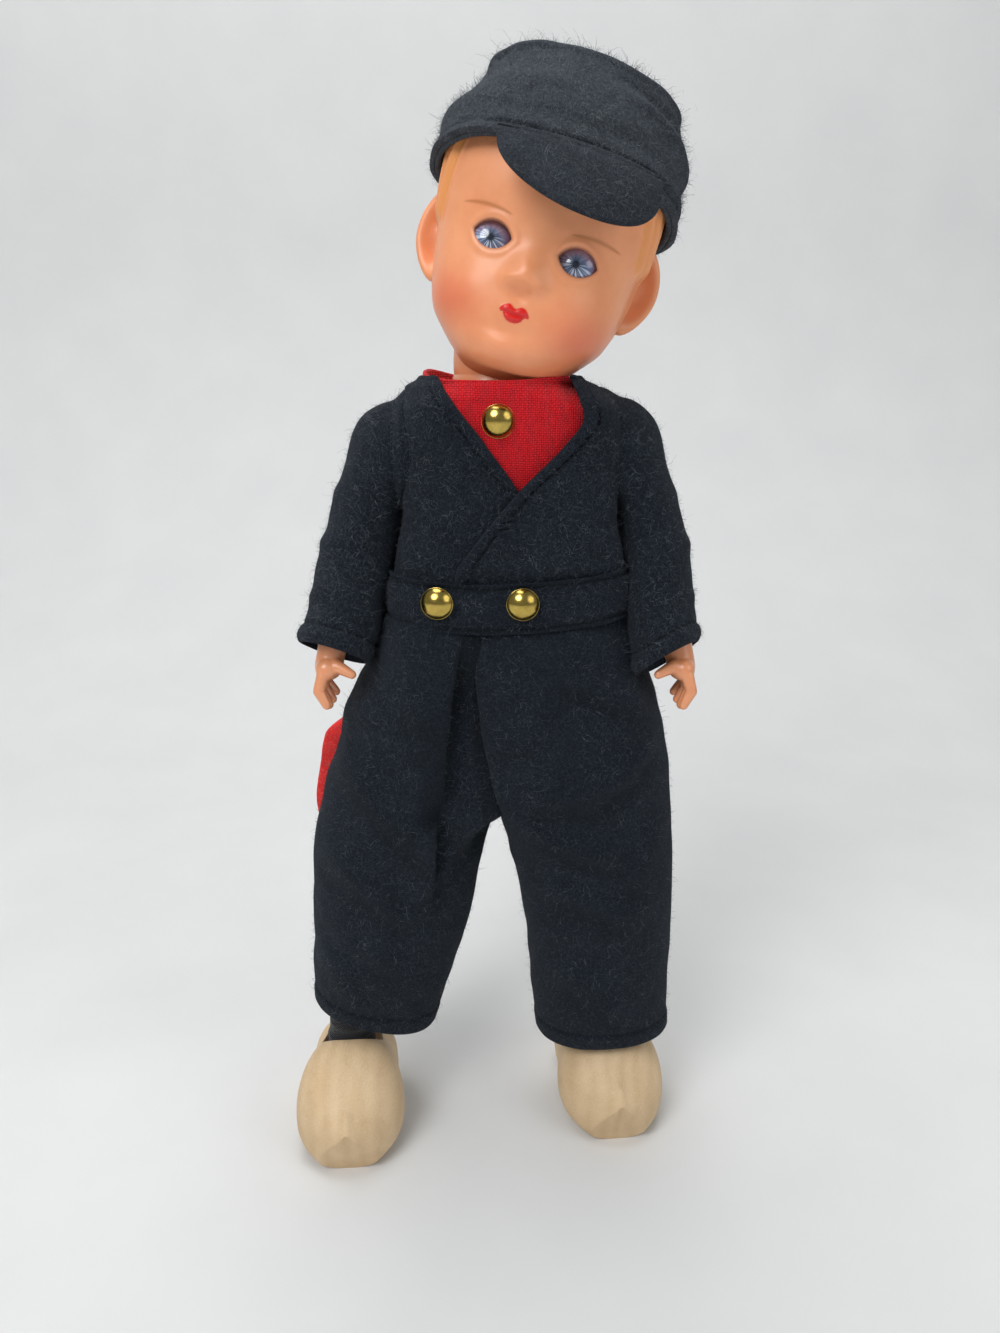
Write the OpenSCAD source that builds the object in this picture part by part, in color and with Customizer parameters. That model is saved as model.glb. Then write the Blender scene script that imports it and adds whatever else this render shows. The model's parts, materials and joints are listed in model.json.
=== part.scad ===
// Strung costume doll: a boy in felt fisherman's clothes, a peaked cap and wooden clogs.
// Millimetres, Z up, the doll faces -Y and stands on Z = 0. The doll's left is +X.

/* [Stance] */
// Sideways place of the doll's middle line from the middle of its outline
stand_x = 3.6; // [0:0.2:10]
// Fore-and-aft place of the doll's middle line from the middle of its outline
stand_y = 4.4; // [0:0.2:10]
// How far the head leans to the doll's left, in degrees
head_lean = 15.5; // [0:0.5:18]
// How far the face is turned to the doll's right, in degrees
head_turn = 4.5; // [0:0.5:10]

/* [Torso] */
// Height of the hip axis over the floor
hip_z = 116; // [110:1:122]
// Height of the shoulder axis over the hip axis
shoulder_rise = 74; // [70:1:78]
// Height of the neck joint over the shoulder axis
neck_rise = 13; // [12:0.5:16]
// Sideways place of the neck
neck_x = -2; // [-3:0.5:0]
// Width of the torso across the chest
torso_w = 48; // [44:1:52]
// Depth of the torso at the chest
torso_d = 31; // [28:1:33]
// Width of the torso between the legs
crotch_w = 26; // [22:1:28]
// Wall of the hollow plastic pieces
shell_t = 1.8; // [1.2:0.2:2.2]

/* [Neck joint] */
// Radius of the neck's ball
neck_r = 12.5; // [11.5:0.5:13]
// Wall of the ball
ball_t = 2.2; // [1.8:0.2:2.6]
// Radius of the cross pin in the ball
neck_pin_r = 1; // [0.8:0.1:1.3]
// Distance of the stirrup's wires from its middle
stirrup_half = 3; // [2.6:0.1:3.4]
// Radius of the stirrup's wires
stirrup_r = 0.7; // [0.5:0.1:0.8]

/* [Head] */
// Height of the head from the chin to the crown
head_h = 64; // [60:1:68]
// Width of the head above the ears
head_w = 50.8; // [48:0.4:54]
// Depth of the face in front of the neck joint
head_front = 22; // [20:0.5:24]
// Depth of the head behind the neck joint
head_back = 26; // [24:0.5:28]
// Height of the chin's underside over the neck joint
chin_z = 5.2; // [5:0.2:6]
// How far the ears stand out
ear_out = 5; // [4:0.2:6]
// How far the nose stands out
nose_out = 4.2; // [3:0.2:5]

/* [Eyes] */
// Radius of an eyeball
eye_r = 5.8; // [5.2:0.1:6]
// Distance between the two eyeballs' middles
eye_gap = 19.6; // [19:0.2:21]
// Height of the eyes over the chin
eye_rise = 26.6; // [24:0.2:28]
// Depth of the eyeballs' middles in front of the neck joint
eye_front = 12.6; // [12:0.1:13]
// Width of an eye opening
eye_open_w = 7.6; // [6.5:0.1:8]
// Height of an eye opening
eye_open_h = 6; // [5:0.1:6.4]
// Radius of the eye axle
axle_r = 0.8; // [0.6:0.1:1]
// Length of the crank that carries the eye weight
crank_l = 10; // [8:0.5:11]

/* [Cap] */
// Height of the cap's crown over the head's crown
cap_over = 4.5; // [3.5:0.5:8]
// Height of the cap's lower edge over the chin
cap_rise = 41; // [40:0.5:43]
// How far the cap is tipped back, in degrees
cap_tip = 11; // [8:0.5:14]
// How far the peak is turned to the doll's left, in degrees
cap_turn = 11; // [6:0.5:14]
// Slack of the cap round the head
cap_slack = 1.6; // [1:0.2:2.4]
// Reach of the peak in front of the band
peak_reach = 14; // [11:0.5:15]
// Height of the cap's band
band_h = 6; // [5:0.5:7]

/* [Clothes] */
// Thickness of the felt
felt_t = 1.5; // [1.2:0.1:1.7]
// Thickness of the red cotton
cotton_t = 0.7; // [0.5:0.1:0.9]
// Slack of the jacket at the waist
jacket_slack = 4; // [3.4:0.2:4.4]
// Height of the jacket's neck edge over the neck joint
jacket_neck = 3; // [2:0.2:3.4]
// Height of the red collar's edge over the neck joint
collar_top = 2.6; // [2:0.2:2.8]
// Height of the waistband's lower edge over the hip axis
waist_rise = 33; // [31:0.5:35]
// Height of the waistband
waist_h = 11.4; // [10:0.2:13]
// Radius of the brass studs
stud_r = 3.6; // [3:0.1:4]
// Height of a stud's dome
stud_h = 2.4; // [2:0.1:3]

/* [Arms] */
// Sideways reach of the doll's right arm from shoulder to wrist
right_arm_reach = 19.6; // [18:0.2:20.4]
// Sideways reach of the doll's left arm from shoulder to wrist
left_arm_reach = 18; // [17:0.2:18.4]
// Drop of the arm from shoulder to wrist
arm_drop = 46; // [45:0.5:47]
// How far the hands are held forward
hand_forward = 13; // [12:0.5:14]
// Radius of the upper arm
arm_r = 5.3; // [5:0.1:5.4]
// Radius of the shoulder disc
shoulder_r = 8.6; // [8:0.1:9]
// Length of the hand
hand_l = 16; // [14:0.5:18]
// Width of the hand
hand_w = 12.4; // [11:0.2:13]
// Radius of the sleeve's head at the shoulder
sleeve_head_r = 14.2; // [13.6:0.1:14.4]
// Width of the doll's right sleeve
right_sleeve_w = 16.4; // [16:0.2:18]
// Width of the doll's left sleeve
left_sleeve_w = 15; // [14.8:0.2:16]
// How far the sleeve's inner seam leans out from armpit to cuff
sleeve_lean = 9; // [8.8:0.1:9.6]
// Height of the sleeve's rolled cuff
cuff_h = 5; // [4:0.2:5.4]

/* [Trousers] */
// Radius of the trousers round the hip axis
hip_r = 21; // [20:0.5:22]
// Reach of the doll's right trouser leg at the hem, outer edge
right_hem_out = 55.4; // [53:0.2:57]
// Reach of the doll's right trouser leg at the hem, inner edge
right_hem_in = 20.9; // [19:0.2:22]
// Height of the doll's right hem
right_hem_z = 33.4; // [31:0.2:36]
// How much higher the doll's right hem is outside than inside
right_hem_rise = 8.4; // [5:0.2:9]
// Reach of the doll's left trouser leg at the hem, outer edge
left_hem_out = 46.4; // [45:0.2:48]
// Reach of the doll's left trouser leg at the hem, inner edge
left_hem_in = 8.8; // [7:0.2:10]
// Height of the doll's left hem
left_hem_z = 27.6; // [27:0.2:30]
// How much higher the doll's left hem is outside than inside
left_hem_rise = 1.7; // [0:0.1:3]
// Reach of the trousers at the hip axis, doll's right
right_hip_out = 45; // [43:0.5:47]
// Reach of the trousers at the hip axis, doll's left
left_hip_out = 42; // [40.5:0.5:44]
// Half-depth of a trouser leg at the hem
hem_d = 15; // [14:0.5:16]
// Depth of the photographed folds
fold_d = 1.2; // [0.8:0.1:1.4]
// Width of the front pleat at its foot
pleat_w = 10; // [8:0.5:11]

/* [Legs and clogs] */
// Radius of the hip disc
hip_disc_r = 10.4; // [9.6:0.2:11]
// Radius of the ankle
ankle_r = 5.6; // [5:0.1:6]
// Sideways place of the doll's right ankle
right_ankle_x = 45; // [43:0.2:46]
// Fore-and-aft place of the doll's right ankle
right_ankle_y = -4; // [-5:0.5:-2]
// Sideways place of the doll's left ankle
left_ankle_x = 28.6; // [27:0.2:30]
// Fore-and-aft place of the doll's left ankle
left_ankle_y = 7; // [5:0.5:8]
// Length of a clog
clog_l = 50; // [48:0.5:54]
// Width of a clog
clog_w = 30; // [28:0.5:32]
// Height of a clog's instep
clog_h = 26.5; // [25:0.5:27]
// Height of the foot's middle in the clog
sole_z = 11; // [10.5:0.5:12]
// How far the doll's right toe points out, in degrees
right_toe = -4; // [-10:1:6]
// How far the doll's left toe points out, in degrees
left_toe = 6; // [-6:1:10]

/* [Stringing] */
// Radius of the elastic
elastic_r = 1.2; // [1:0.1:1.4]
// Radius of an end knot
knot_r = 2.6; // [2.2:0.1:3]
// Thickness of the discs that close the limbs
disc_t = 2; // [1.6:0.1:2.4]

/* [Fits] */
// Clearance between moving pieces
move_gap = 0.3; // [0.2:0.05:0.4]
// Clearance of a pin or cord in its hole
run_gap = 0.08; // [0.05:0.01:0.1]
// Clearance between pieces that are glued or sewn together
sewn_gap = 0.05; // [0.02:0.01:0.1]

/* [Hidden] */
$fn = 48;
over = 5;
soft = 0.86;
shoulder_z = hip_z + shoulder_rise;
neck_z = shoulder_z + neck_rise;
torso_half = torso_w / 2;
torso_deep = torso_d / 2;
crotch_half = crotch_w / 2;
seat_z = neck_z - 0.16 * neck_r;
rim_r = neck_r + shell_t + ball_t + move_gap;
waist_z = hip_z + waist_rise;
under_gap = cotton_t + move_gap;
lap_t = felt_t + move_gap;

// Signed power, for rings between an ellipse and a box
function spow(v, e) = sign(v) * pow(abs(v), e);
// Smooth step from 0 to 1
function ease(v) = let (u = min(1, max(0, v))) u * u * (3 - 2 * u);
function mix(a, b, s) = a + (b - a) * s;
function rotx(p, g) = [p.x, p.y * cos(g) - p.z * sin(g), p.y * sin(g) + p.z * cos(g)];
function roty(p, g) = [p.x * cos(g) + p.z * sin(g), p.y, p.z * cos(g) - p.x * sin(g)];
// Value of column c at share s in a table whose first column rises
function lookup_in(table, s, c) = lookup(s, [for (r = table) [r[0], r[c]]]);
function steps(from, to, count) = [for (i = [0:count]) mix(from, to, i / count)];
// Angles once round, front first
function round_angles(n) = [for (i = [0:n - 1]) 360 * i / n];
// One level ring point: middle, half-width, front and back depth, squareness, angle from the front
function level_point(c, a, f, b, e, t) =
    let (k = spow(cos(t), e)) c + [a * spow(sin(t), e), k > 0 ? -f * k : -b * k, 0];
// One ring that looks down, then is pitched and splayed, for limbs
function limb_ring(c, a, f, b, e, pitch, splay, n) = [
    for (t = round_angles(n))
        let (p = level_point([0, 0, 0], a, f, b, e, t)) c + roty(rotx([-p.x, p.y, 0], pitch), splay)
];
// Front depth of a ring at a sideways place
function front_at(a, f, e, x) = -f * pow(1 - pow(min(1, abs(x) / a), 2 / e), e / 2);

function joined(rows) = [for (r = rows) each r];
function turned(faces) = [for (f = faces) [f[0], f[2], f[1]]];
function closed_grid(o, m, n) = [
    for (k = [0:m - 2], i = [0:n - 1])
        let (a = o + k * n + i, b = o + k * n + (i + 1) % n) each [[a, a + n, b + n], [a, b + n, b]]
];
function open_grid(o, m, n) = [
    for (k = [0:m - 2], i = [0:n - 2])
        let (a = o + k * n + i, b = a + 1) each [[a, a + n, b + n], [a, b + n, b]]
];
function end_fan(o, n, p) = [for (i = [0:n - 1]) [o + i, p, o + (i + 1) % n]];
function start_fan(o, n, p) = [for (i = [0:n - 1]) [o + i, o + (i + 1) % n, p]];
function middle(ring) = [for (k = [0:2]) [for (p = ring) p[k]] * [for (p = ring) 1] / len(ring)];

// A solid skinned over closed rings
module solid_loft(rings) {
    m = len(rings);
    n = len(rings[0]);
    points = concat(joined(rings), [middle(rings[0]), middle(rings[m - 1])]);
    polyhedron(
        points,
        concat(closed_grid(0, m, n), start_fan(0, n, m * n), end_fan((m - 1) * n, n, m * n + 1))
    );
}

// A hollow skin, open at both ends
module tube_shell(outer, inner) {
    m = len(outer);
    n = len(outer[0]);
    o = m * n;
    last = (m - 1) * n;
    rims = [
        for (i = [0:n - 1])
            let (j = (i + 1) % n, a = last + i, b = last + j)
                each [[i, j, o + j], [i, o + j, o + i], [a, o + a, o + b], [a, o + b, b]]
    ];
    polyhedron(
        concat(joined(outer), joined(inner)),
        concat(closed_grid(0, m, n), turned(closed_grid(o, m, n)), rims)
    );
}

// A hollow skin, open at its first ring and closed past its last
module cup_shell(outer, inner) {
    m = len(outer);
    q = len(inner);
    n = len(outer[0]);
    o = m * n;
    p = o + q * n;
    rim = [for (i = [0:n - 1]) let (j = (i + 1) % n) each [[i, j, o + j], [i, o + j, o + i]]];
    polyhedron(
        concat(joined(outer), joined(inner), [middle(outer[m - 1]), middle(inner[q - 1])]),
        concat(
            closed_grid(0, m, n),
            end_fan((m - 1) * n, n, p),
            turned(closed_grid(o, q, n)),
            turned(end_fan(o + (q - 1) * n, n, p + 1)),
            rim
        )
    );
}

// Side walls of an open skin, from its outer to its inner points
function side_walls(o, m, n) = [
    for (k = [0:m - 2])
        let (a = k * n, d = a + n, b = a + n - 1, c = b + n)
            each [[d, a, o + a], [d, o + a, o + d], [b, c, o + c], [b, o + c, o + b]]
];
function start_wall(o, n) = [for (i = [0:n - 2]) each [[i, i + 1, o + i + 1], [i, o + i + 1, o + i]]];

// A thick sheet between two open grids
module sheet_shell(outer, inner) {
    m = len(outer);
    n = len(outer[0]);
    o = m * n;
    last = o - n;
    end_wall = [
        for (i = [last:o - 2]) each [[i + 1, i, o + i], [i + 1, o + i, o + i + 1]]
    ];
    polyhedron(
        concat(joined(outer), joined(inner)),
        concat(
            open_grid(0, m, n), turned(open_grid(o, m, n)),
            side_walls(o, m, n), start_wall(o, n), end_wall
        )
    );
}

// Half of a hollow form, open at its first row and closed to a pole past its last
module half_shell(outer, inner, outer_pole, inner_pole) {
    m = len(outer);
    n = len(outer[0]);
    o = m * n;
    p = 2 * o;
    a = o - n;
    b = o - 1;
    fan = [for (i = [a:b - 1]) [i, p, i + 1]];
    ends = [[p, a, o + a], [p, o + a, p + 1], [b, p, p + 1], [b, p + 1, o + b]];
    polyhedron(
        concat(joined(outer), joined(inner), [outer_pole, inner_pole]),
        concat(
            open_grid(0, m, n), fan,
            turned(open_grid(o, m, n)), [for (i = [a:b - 1]) [o + i, o + i + 1, p + 1]],
            side_walls(o, m, n), start_wall(o, n), ends
        )
    );
}

// A round rod between two points, with slightly thicker round ends
module rod(p, q, r) {
    d = q - p;
    l = norm(d);
    translate(p) {
        rotate([0, acos(d.z / l), atan2(d.y, d.x)]) cylinder(r=r, h=l);
        sphere(r + sewn_gap);
    }
    translate(q) sphere(r + sewn_gap);
}

module place() translate([stand_x, stand_y, 0]) children();
module right_side() mirror([1, 0, 0]) children();
module neck_place() translate([neck_x, 0, neck_z]) rotate([0, 0, -head_turn]) children();
module head_place() neck_place() rotate([0, head_lean, 0]) children();
module cap_place()
    head_place() translate([0, 0, chin_z + cap_rise])
        rotate([0, 0, cap_turn]) rotate([-cap_tip, 0, 0]) children();

// Head: height share from chin to crown, width, face, back, chin dip, nose and ear shares
head_shares = [
    [0.006, 0.49, 0.66, 0.46, 0.014, 0, 0],
    [0.025, 0.52, 0.78, 0.485, 0.027, 0, 0],
    [0.053, 0.59, 0.89, 0.53, 0.027, 0, 0],
    [0.09, 0.68, 0.965, 0.59, 0.019, 0, 0],
    [0.14, 0.785, 0.985, 0.665, 0.008, 0, 0],
    [0.20, 0.85, 0.99, 0.755, 0, 0, 0],
    [0.26, 0.89, 0.985, 0.83, 0, 0.3, 0.4],
    [0.33, 0.92, 0.97, 0.89, 0, 1, 0.85],
    [0.42, 0.945, 0.955, 0.94, 0, 0.45, 1],
    [0.51, 0.975, 0.975, 0.97, 0, 0.05, 0.75],
    [0.62, 1, 1, 1, 0, 0, 0],
    [0.73, 0.985, 0.985, 0.985, 0, 0, 0],
    [0.825, 0.90, 0.91, 0.90, 0, 0, 0],
    [0.90, 0.73, 0.75, 0.73, 0, 0, 0],
    [0.955, 0.51, 0.53, 0.51, 0, 0, 0],
    [0.985, 0.27, 0.28, 0.27, 0, 0, 0]
];
face_angles = [-90, -80, -68, -54, -40, -27, -16, -8, 0, 8, 16, 27, 40, 54, 68, 80, 90];
nape_angles = [90, 98, 108, 122, 148, 180, 212, 238, 252, 262, 270];
head_e = 0.9;
nose_spread = 9;
ear_spread = 13;
ear_angle = 96;
dip_most = 0.027;
neck_rim_z = 0.34 * neck_r;
neck_rim_r = sqrt(neck_r * neck_r - neck_rim_z * neck_rim_z);
crown_z = chin_z + head_h;
eye_z = chin_z + eye_rise;

function head_point(r, t, in) =
    let (
        face = pow(max(0, (1 + cos(t)) / 2), 2),
        nose = nose_out * r[5] * exp(-pow(t / nose_spread, 2)),
        ear = ear_out * r[6] * exp(-pow((min(abs(t), abs(360 - t)) - ear_angle) / ear_spread, 2)),
        lift = r[4] * head_h,
        flat = r[0] > 0.85 ? in * (r[0] - 0.85) / 0.15 : -in * r[4] / dip_most * face,
        z = chin_z + r[0] * head_h - lift * face - flat
    )
        level_point(
            [0, 0, z],
            r[1] * head_w / 2 + ear - in,
            r[2] * head_front + nose - in,
            r[3] * head_back - in,
            head_e,
            t
        );
function neck_row(angles, r) = [for (t = angles) level_point([0, 0, neck_rim_z], r, r, r, 1, t)];
function head_rows(angles, in) = concat(
    [neck_row(angles, neck_rim_r - in)],
    [for (r = head_shares) [for (t = angles) head_point(r, t, in)]]
);

module head_half(angles)
    half_shell(head_rows(angles, 0), head_rows(angles, shell_t), [0, 0, crown_z], [0, 0, crown_z - shell_t]);

module eye_openings() {
    lens_r = (eye_open_w * eye_open_w + eye_open_h * eye_open_h) / (4 * eye_open_h);
    shift = lens_r - eye_open_h / 2;
    for (side = [-1, 1])
        translate([side * eye_gap / 2, -eye_front, eye_z]) {
            sphere(eye_r + move_gap);
            rotate([90, 0, 0]) linear_extrude(head_front) intersection() {
                translate([0, shift]) circle(lens_r);
                translate([0, -shift]) circle(lens_r);
            }
        }
}

module head_front() color("peachpuff") head_place() difference() {
    head_half(face_angles);
    eye_openings();
}
module head_back() color("peachpuff") head_place() head_half(nape_angles);

module eye_place() head_place() translate([0, -eye_front, eye_z]) children();
bracket_w = 0.16 * eye_gap;
bracket_h = 5 * axle_r;
crank_x = bracket_w / 2 + move_gap + axle_r;
weight_r = 0.27 * crank_l;
weight_at = [0, 0.3 * crank_l, -0.95 * crank_l];

module eye_bracket() color("tan") eye_place() difference() {
    translate([-bracket_w / 2, -(head_front - eye_front) + 2 * shell_t, -bracket_h / 2])
        cube([bracket_w, head_front - eye_front, bracket_h]);
    rotate([0, 90, 0]) cylinder(r=axle_r + run_gap, h=eye_gap, center=true);
}
module eyeball(side) color("white") eye_place() translate([side * eye_gap / 2, 0, 0]) difference() {
    sphere(eye_r);
    rotate([0, 90, 0]) cylinder(r=axle_r + sewn_gap, h=eye_gap, center=true);
}
module right_eye() eyeball(-1);
module left_eye() eyeball(1);
module eye_axle() color("silver") eye_place()
    rotate([0, 90, 0]) cylinder(r=axle_r, h=eye_gap + eye_r, center=true);
module eye_weight() color("dimgray") eye_place() difference() {
    union() {
        for (side = [-1, 1]) rod([side * crank_x, 0, 0], weight_at + [side * crank_x, 0, 0], axle_r * 1.2);
        translate(weight_at) rotate([0, 90, 0])
            cylinder(r=weight_r, h=2 * crank_x + 2 * weight_r, center=true);
    }
    rotate([0, 90, 0]) cylinder(r=axle_r + sewn_gap, h=eye_gap, center=true);
}

// Cap: height share, girth share, sideways share
cap_shares = [
    [0, 1, 0],
    [0.22, 1, 0],
    [0.36, 1.01, 0.01],
    [0.52, 0.965, 0.04],
    [0.68, 0.885, 0.08],
    [0.82, 0.8, 0.11],
    [0.93, 0.68, 0.13],
    [0.985, 0.42, 0.14]
];
cap_n = 24;
cap_h = head_h - cap_rise + cap_over;
cap_e = 0.95;
cap_a = head_w / 2 + cap_slack + felt_t;
cap_f = head_front + 1.9 * cap_slack + felt_t;
cap_b = head_back + cap_slack + felt_t;
band_out = felt_t;
// Soft dents round the crown
dent_share = 0.22;
function cap_dent(s, t) = fold_d * ease((s - dent_share) / (0.52 - dent_share)) * sin(3 * t + 200 * s) / 2;
function cap_rings(in) = [
    for (r = cap_shares) [
        for (t = round_angles(cap_n))
            let (g = r[1], d = cap_dent(r[0], t))
                level_point(
                    [r[2] * cap_a, 0, r[0] * (cap_h - in)],
                    g * cap_a + d - in, g * cap_f + d - in, g * cap_b + d - in, cap_e, t
                )
    ]
];
module cap_crown() color("dimgray") cap_place() cup_shell(cap_rings(0), cap_rings(felt_t));
// Cap band: height share, thickness share
cap_band_shares = [[0.08, 0.5], [0.4, 1], [0.8, 1], [0.98, 0.6]];
function cap_band_rings(k) = [
    for (r = cap_band_shares) [
        for (t = round_angles(cap_n))
            let (g = sewn_gap + (k == 1 ? band_out * r[1] : 0))
                level_point([0, 0, r[0] * band_h], cap_a + g, cap_f + g, cap_b + g, cap_e, t)
    ]
];
module cap_band() color("dimgray") cap_place() tube_shell(cap_band_rings(1), cap_band_rings(0));
// Peak: share of its reach, outward share, downward share
peak_shares = [[0, 0, 0], [0.35, 0.24, 0.22], [0.7, 0.4, 0.6], [1, 0.46, 0.92]];
peak_angle = 37;
peak_shift = 5;
peak_skew_share = 0.14;
peak_start_share = 0.35;
function peak_rows(k) = [
    for (r = peak_shares) [
        for (t = steps(peak_angle, -peak_angle, 10))
            let (
                bow = pow(max(0, cos(90 * t / peak_angle)), 0.6) * (1 + peak_skew_share * t / peak_angle),
                l = peak_reach * bow + felt_t,
                g = band_out + move_gap + r[1] * l + k * felt_t
            )
                level_point(
                    [0, 0, peak_start_share * band_h - r[2] * l],
                    cap_a + g, cap_f + g, cap_b + g, cap_e, t + peak_shift
                )
    ]
];
module cap_peak() color("dimgray") cap_place() sheet_shell(peak_rows(1), peak_rows(0));

// Neck joint
plug_r = (neck_rim_r - shell_t) * 0.96;
stirrup_low = 0.76 * neck_r;
washer_t = 0.4 * stirrup_half;
washer_r = stirrup_half + 2 * stirrup_r;
neck_knot_r = 0.65 * stirrup_half;
cord_r = 0.8 * elastic_r;

module neck_ball() color("peachpuff") head_place() difference() {
    union() {
        intersection() {
            sphere(neck_r);
            translate([0, 0, -neck_r / 2]) cylinder(r=neck_r + over, h=neck_r / 2 + neck_rim_z);
        }
        cylinder(r=plug_r, h=neck_rim_z + 2 * shell_t);
    }
    sphere(neck_r - ball_t);
    cylinder(r=plug_r - shell_t, h=neck_r + over);
    rotate([90, 0, 0]) cylinder(r=neck_pin_r + run_gap, h=2 * neck_r + over, center=true);
}
module neck_stirrup() color("silver") neck_place() {
    rotate([90, 0, 0]) cylinder(r=neck_pin_r, h=2 * neck_r - ball_t, center=true);
    difference() {
        union() {
            for (side = [-1, 1])
                translate([0, side * stirrup_half, -stirrup_low]) cylinder(r=stirrup_r, h=stirrup_low);
            translate([0, 0, -stirrup_low]) cylinder(r=washer_r, h=washer_t);
        }
        translate([0, 0, -stirrup_low - over]) cylinder(r=cord_r + run_gap, h=washer_t + 2 * over);
    }
}
socket_low = neck_z - 0.7 * neck_r;
module neck_socket() color("tan") translate([neck_x, 0, 0]) difference() {
    union() {
        translate([0, 0, socket_low]) cylinder(r=0.96 * (rim_r - shell_t), h=seat_z - socket_low);
        translate([0, 0, seat_z]) cylinder(r=rim_r, h=0.12 * neck_r);
    }
    translate([0, 0, neck_z]) sphere(neck_r + move_gap);
}

// Torso: height share from over the hips to the neck seat, width share, depth share, neck shift share
torso_shares = [
    [0.955, 0.94, 1.09, 0.6],
    [0.90, 0.97, 1.06, 0.2],
    [0.83, 1, 1, 0],
    [0.70, 1, 1, 0],
    [0.54, 1, 1, 0],
    [0.38, 0.95, 0.97, 0],
    [0.22, 0.95, 0.95, 0],
    [0.10, 0.88, 0.93, 0]
];
crotch_shares = [[1.02, 1, 0.9], [0.5, 1, 0.88], [0, 1, 0.86], [-0.4, 0.94, 0.76], [-0.62, 0.68, 0.5]];
torso_e = 0.8;
torso_low = hip_z + hip_r + move_gap;
torso_rise = seat_z - torso_low;
function torso_rows(angles, in) = concat(
    [[for (t = angles) level_point([neck_x, 0, seat_z], rim_r - in, rim_r - in, rim_r - in, 1, t)]],
    [
        for (r = torso_shares) [
            for (t = angles)
                level_point(
                    [neck_x * r[3], 0, torso_low + r[0] * torso_rise - (r[0] > 0.85 ? in : 0)],
                    r[1] * torso_half - in, r[2] * torso_deep - in, r[2] * torso_deep - in, torso_e, t
                )
        ]
    ],
    [
        for (r = crotch_shares) [
            for (t = angles)
                level_point(
                    [0, 0, hip_z + r[0] * hip_r + (r[0] < -0.5 ? in / 2 : 0)],
                    r[1] * crotch_half - in, r[2] * torso_deep - in, r[2] * torso_deep - in, torso_e, t
                )
        ]
    ]
);
module torso_half_shell(from, to) {
    angles = steps(to, from, 8);
    low = hip_z - 0.7 * hip_r;
    difference() {
        half_shell(torso_rows(angles, 0), torso_rows(angles, shell_t), [0, 0, low], [0, 0, low + shell_t]);
        for (z = [shoulder_z, hip_z])
            translate([0, 0, z]) rotate([0, 90, 0])
                cylinder(r=elastic_r + move_gap, h=2 * torso_w, center=true);
    }
}
module torso_front() color("peachpuff") torso_half_shell(-90, 90);
module torso_back() color("peachpuff") torso_half_shell(90, 270);

// Stringing
arm_face = torso_half + move_gap;
leg_face = crotch_half + move_gap;
module strung_elastic(z, face) color("gainsboro") translate([0, 0, z]) {
    reach = face + disc_t + run_gap;
    rotate([0, 90, 0]) cylinder(r=elastic_r, h=2 * reach + knot_r, center=true);
    for (side = [-1, 1]) translate([side * (reach + knot_r), 0, 0]) sphere(knot_r);
}
module arm_elastic() strung_elastic(shoulder_z, arm_face);
module leg_elastic() strung_elastic(hip_z, leg_face);
module neck_elastic() color("gainsboro") translate([neck_x, 0, 0]) {
    top = neck_z - stirrup_low + washer_t;
    behind = elastic_r + cord_r + 2 * move_gap;
    loop_r = elastic_r + cord_r + run_gap;
    translate([0, 0, top + neck_knot_r + run_gap]) sphere(neck_knot_r);
    rod([0, 0, top + neck_knot_r], [0, 0, top - 2 * washer_t], cord_r);
    rod([0, 0, top - 2 * washer_t], [0, behind, shoulder_z + elastic_r], cord_r);
    rod([0, behind, shoulder_z + elastic_r], [0, loop_r, hip_z], cord_r);
    translate([0, 0, hip_z]) rotate([0, 90, 0]) rotate_extrude() translate([loop_r, 0]) circle(cord_r);
}

// Jacket: height share from the waist to the neck edge, then width, depth, slack and neck shift shares
jacket_shares = [
    [0, 0.95, 0.95, 1, 0],
    [0.19, 0.95, 0.96, 1, 0],
    [0.31, 0.98, 0.98, 0.5, 0],
    [0.43, 1, 1, 0, 0],
    [0.56, 1, 1, 0, 0],
    [0.72, 1, 1.04, 0, 0],
    [0.84, 1, 1.1, 0, 0],
    [0.92, 0.98, 1.13, 0, 0.2],
    [0.97, 0.93, 1.14, 0, 0.8]
];
jacket_z = waist_z + sewn_gap;
jacket_h = neck_z + jacket_neck - jacket_z;
collar_r = rim_r + sewn_gap;
neck_wrap = collar_r + cotton_t + sewn_gap;
slack_deep = 0.25;
yoke_share = 0.97;
// Squareness of the jacket: flat sides at the armholes, round at the neck
side_e = 0.56;
round_share = 0.9;
function jacket_e(s) = mix(side_e, 1, ease((s - round_share) / (1 - round_share)));
// One point of the jacket, out from the torso by a given layer
function jacket_point(s, t, out) =
    let (
        c = min(s, yoke_share),
        k = ease((s - yoke_share) / (1 - yoke_share)),
        slack = lookup_in(jacket_shares, c, 3) * jacket_slack,
        a = lookup_in(jacket_shares, c, 1) * torso_half + slack,
        d = lookup_in(jacket_shares, c, 2) * torso_deep + slack * slack_deep,
        e = jacket_e(s),
        g = under_gap + out,
        x = neck_x * mix(lookup_in(jacket_shares, c, 4), 1, k)
    )
        level_point(
            [x, 0, jacket_z + s * jacket_h],
            mix(a, neck_wrap, k) + g, mix(d, neck_wrap, k) + g, mix(d, neck_wrap, k) + g, e, t
        );
jacket_steps = [0, 0.19, 0.31, 0.43, 0.56, 0.7, 0.84, 0.92, 0.97, 1];
armhole_r = shoulder_r + 3 * move_gap;
module armholes()
    translate([0, 0, shoulder_z]) rotate([0, 90, 0]) cylinder(r=armhole_r, h=3 * torso_w, center=true);
function jacket_back_rows(out) = [
    for (s = jacket_steps) [for (t = steps(90, 270, 10)) jacket_point(s, t, out)]
];
module jacket_back() color("dimgray") difference() {
    sheet_shell(jacket_back_rows(felt_t), jacket_back_rows(0));
    armholes();
}
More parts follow.
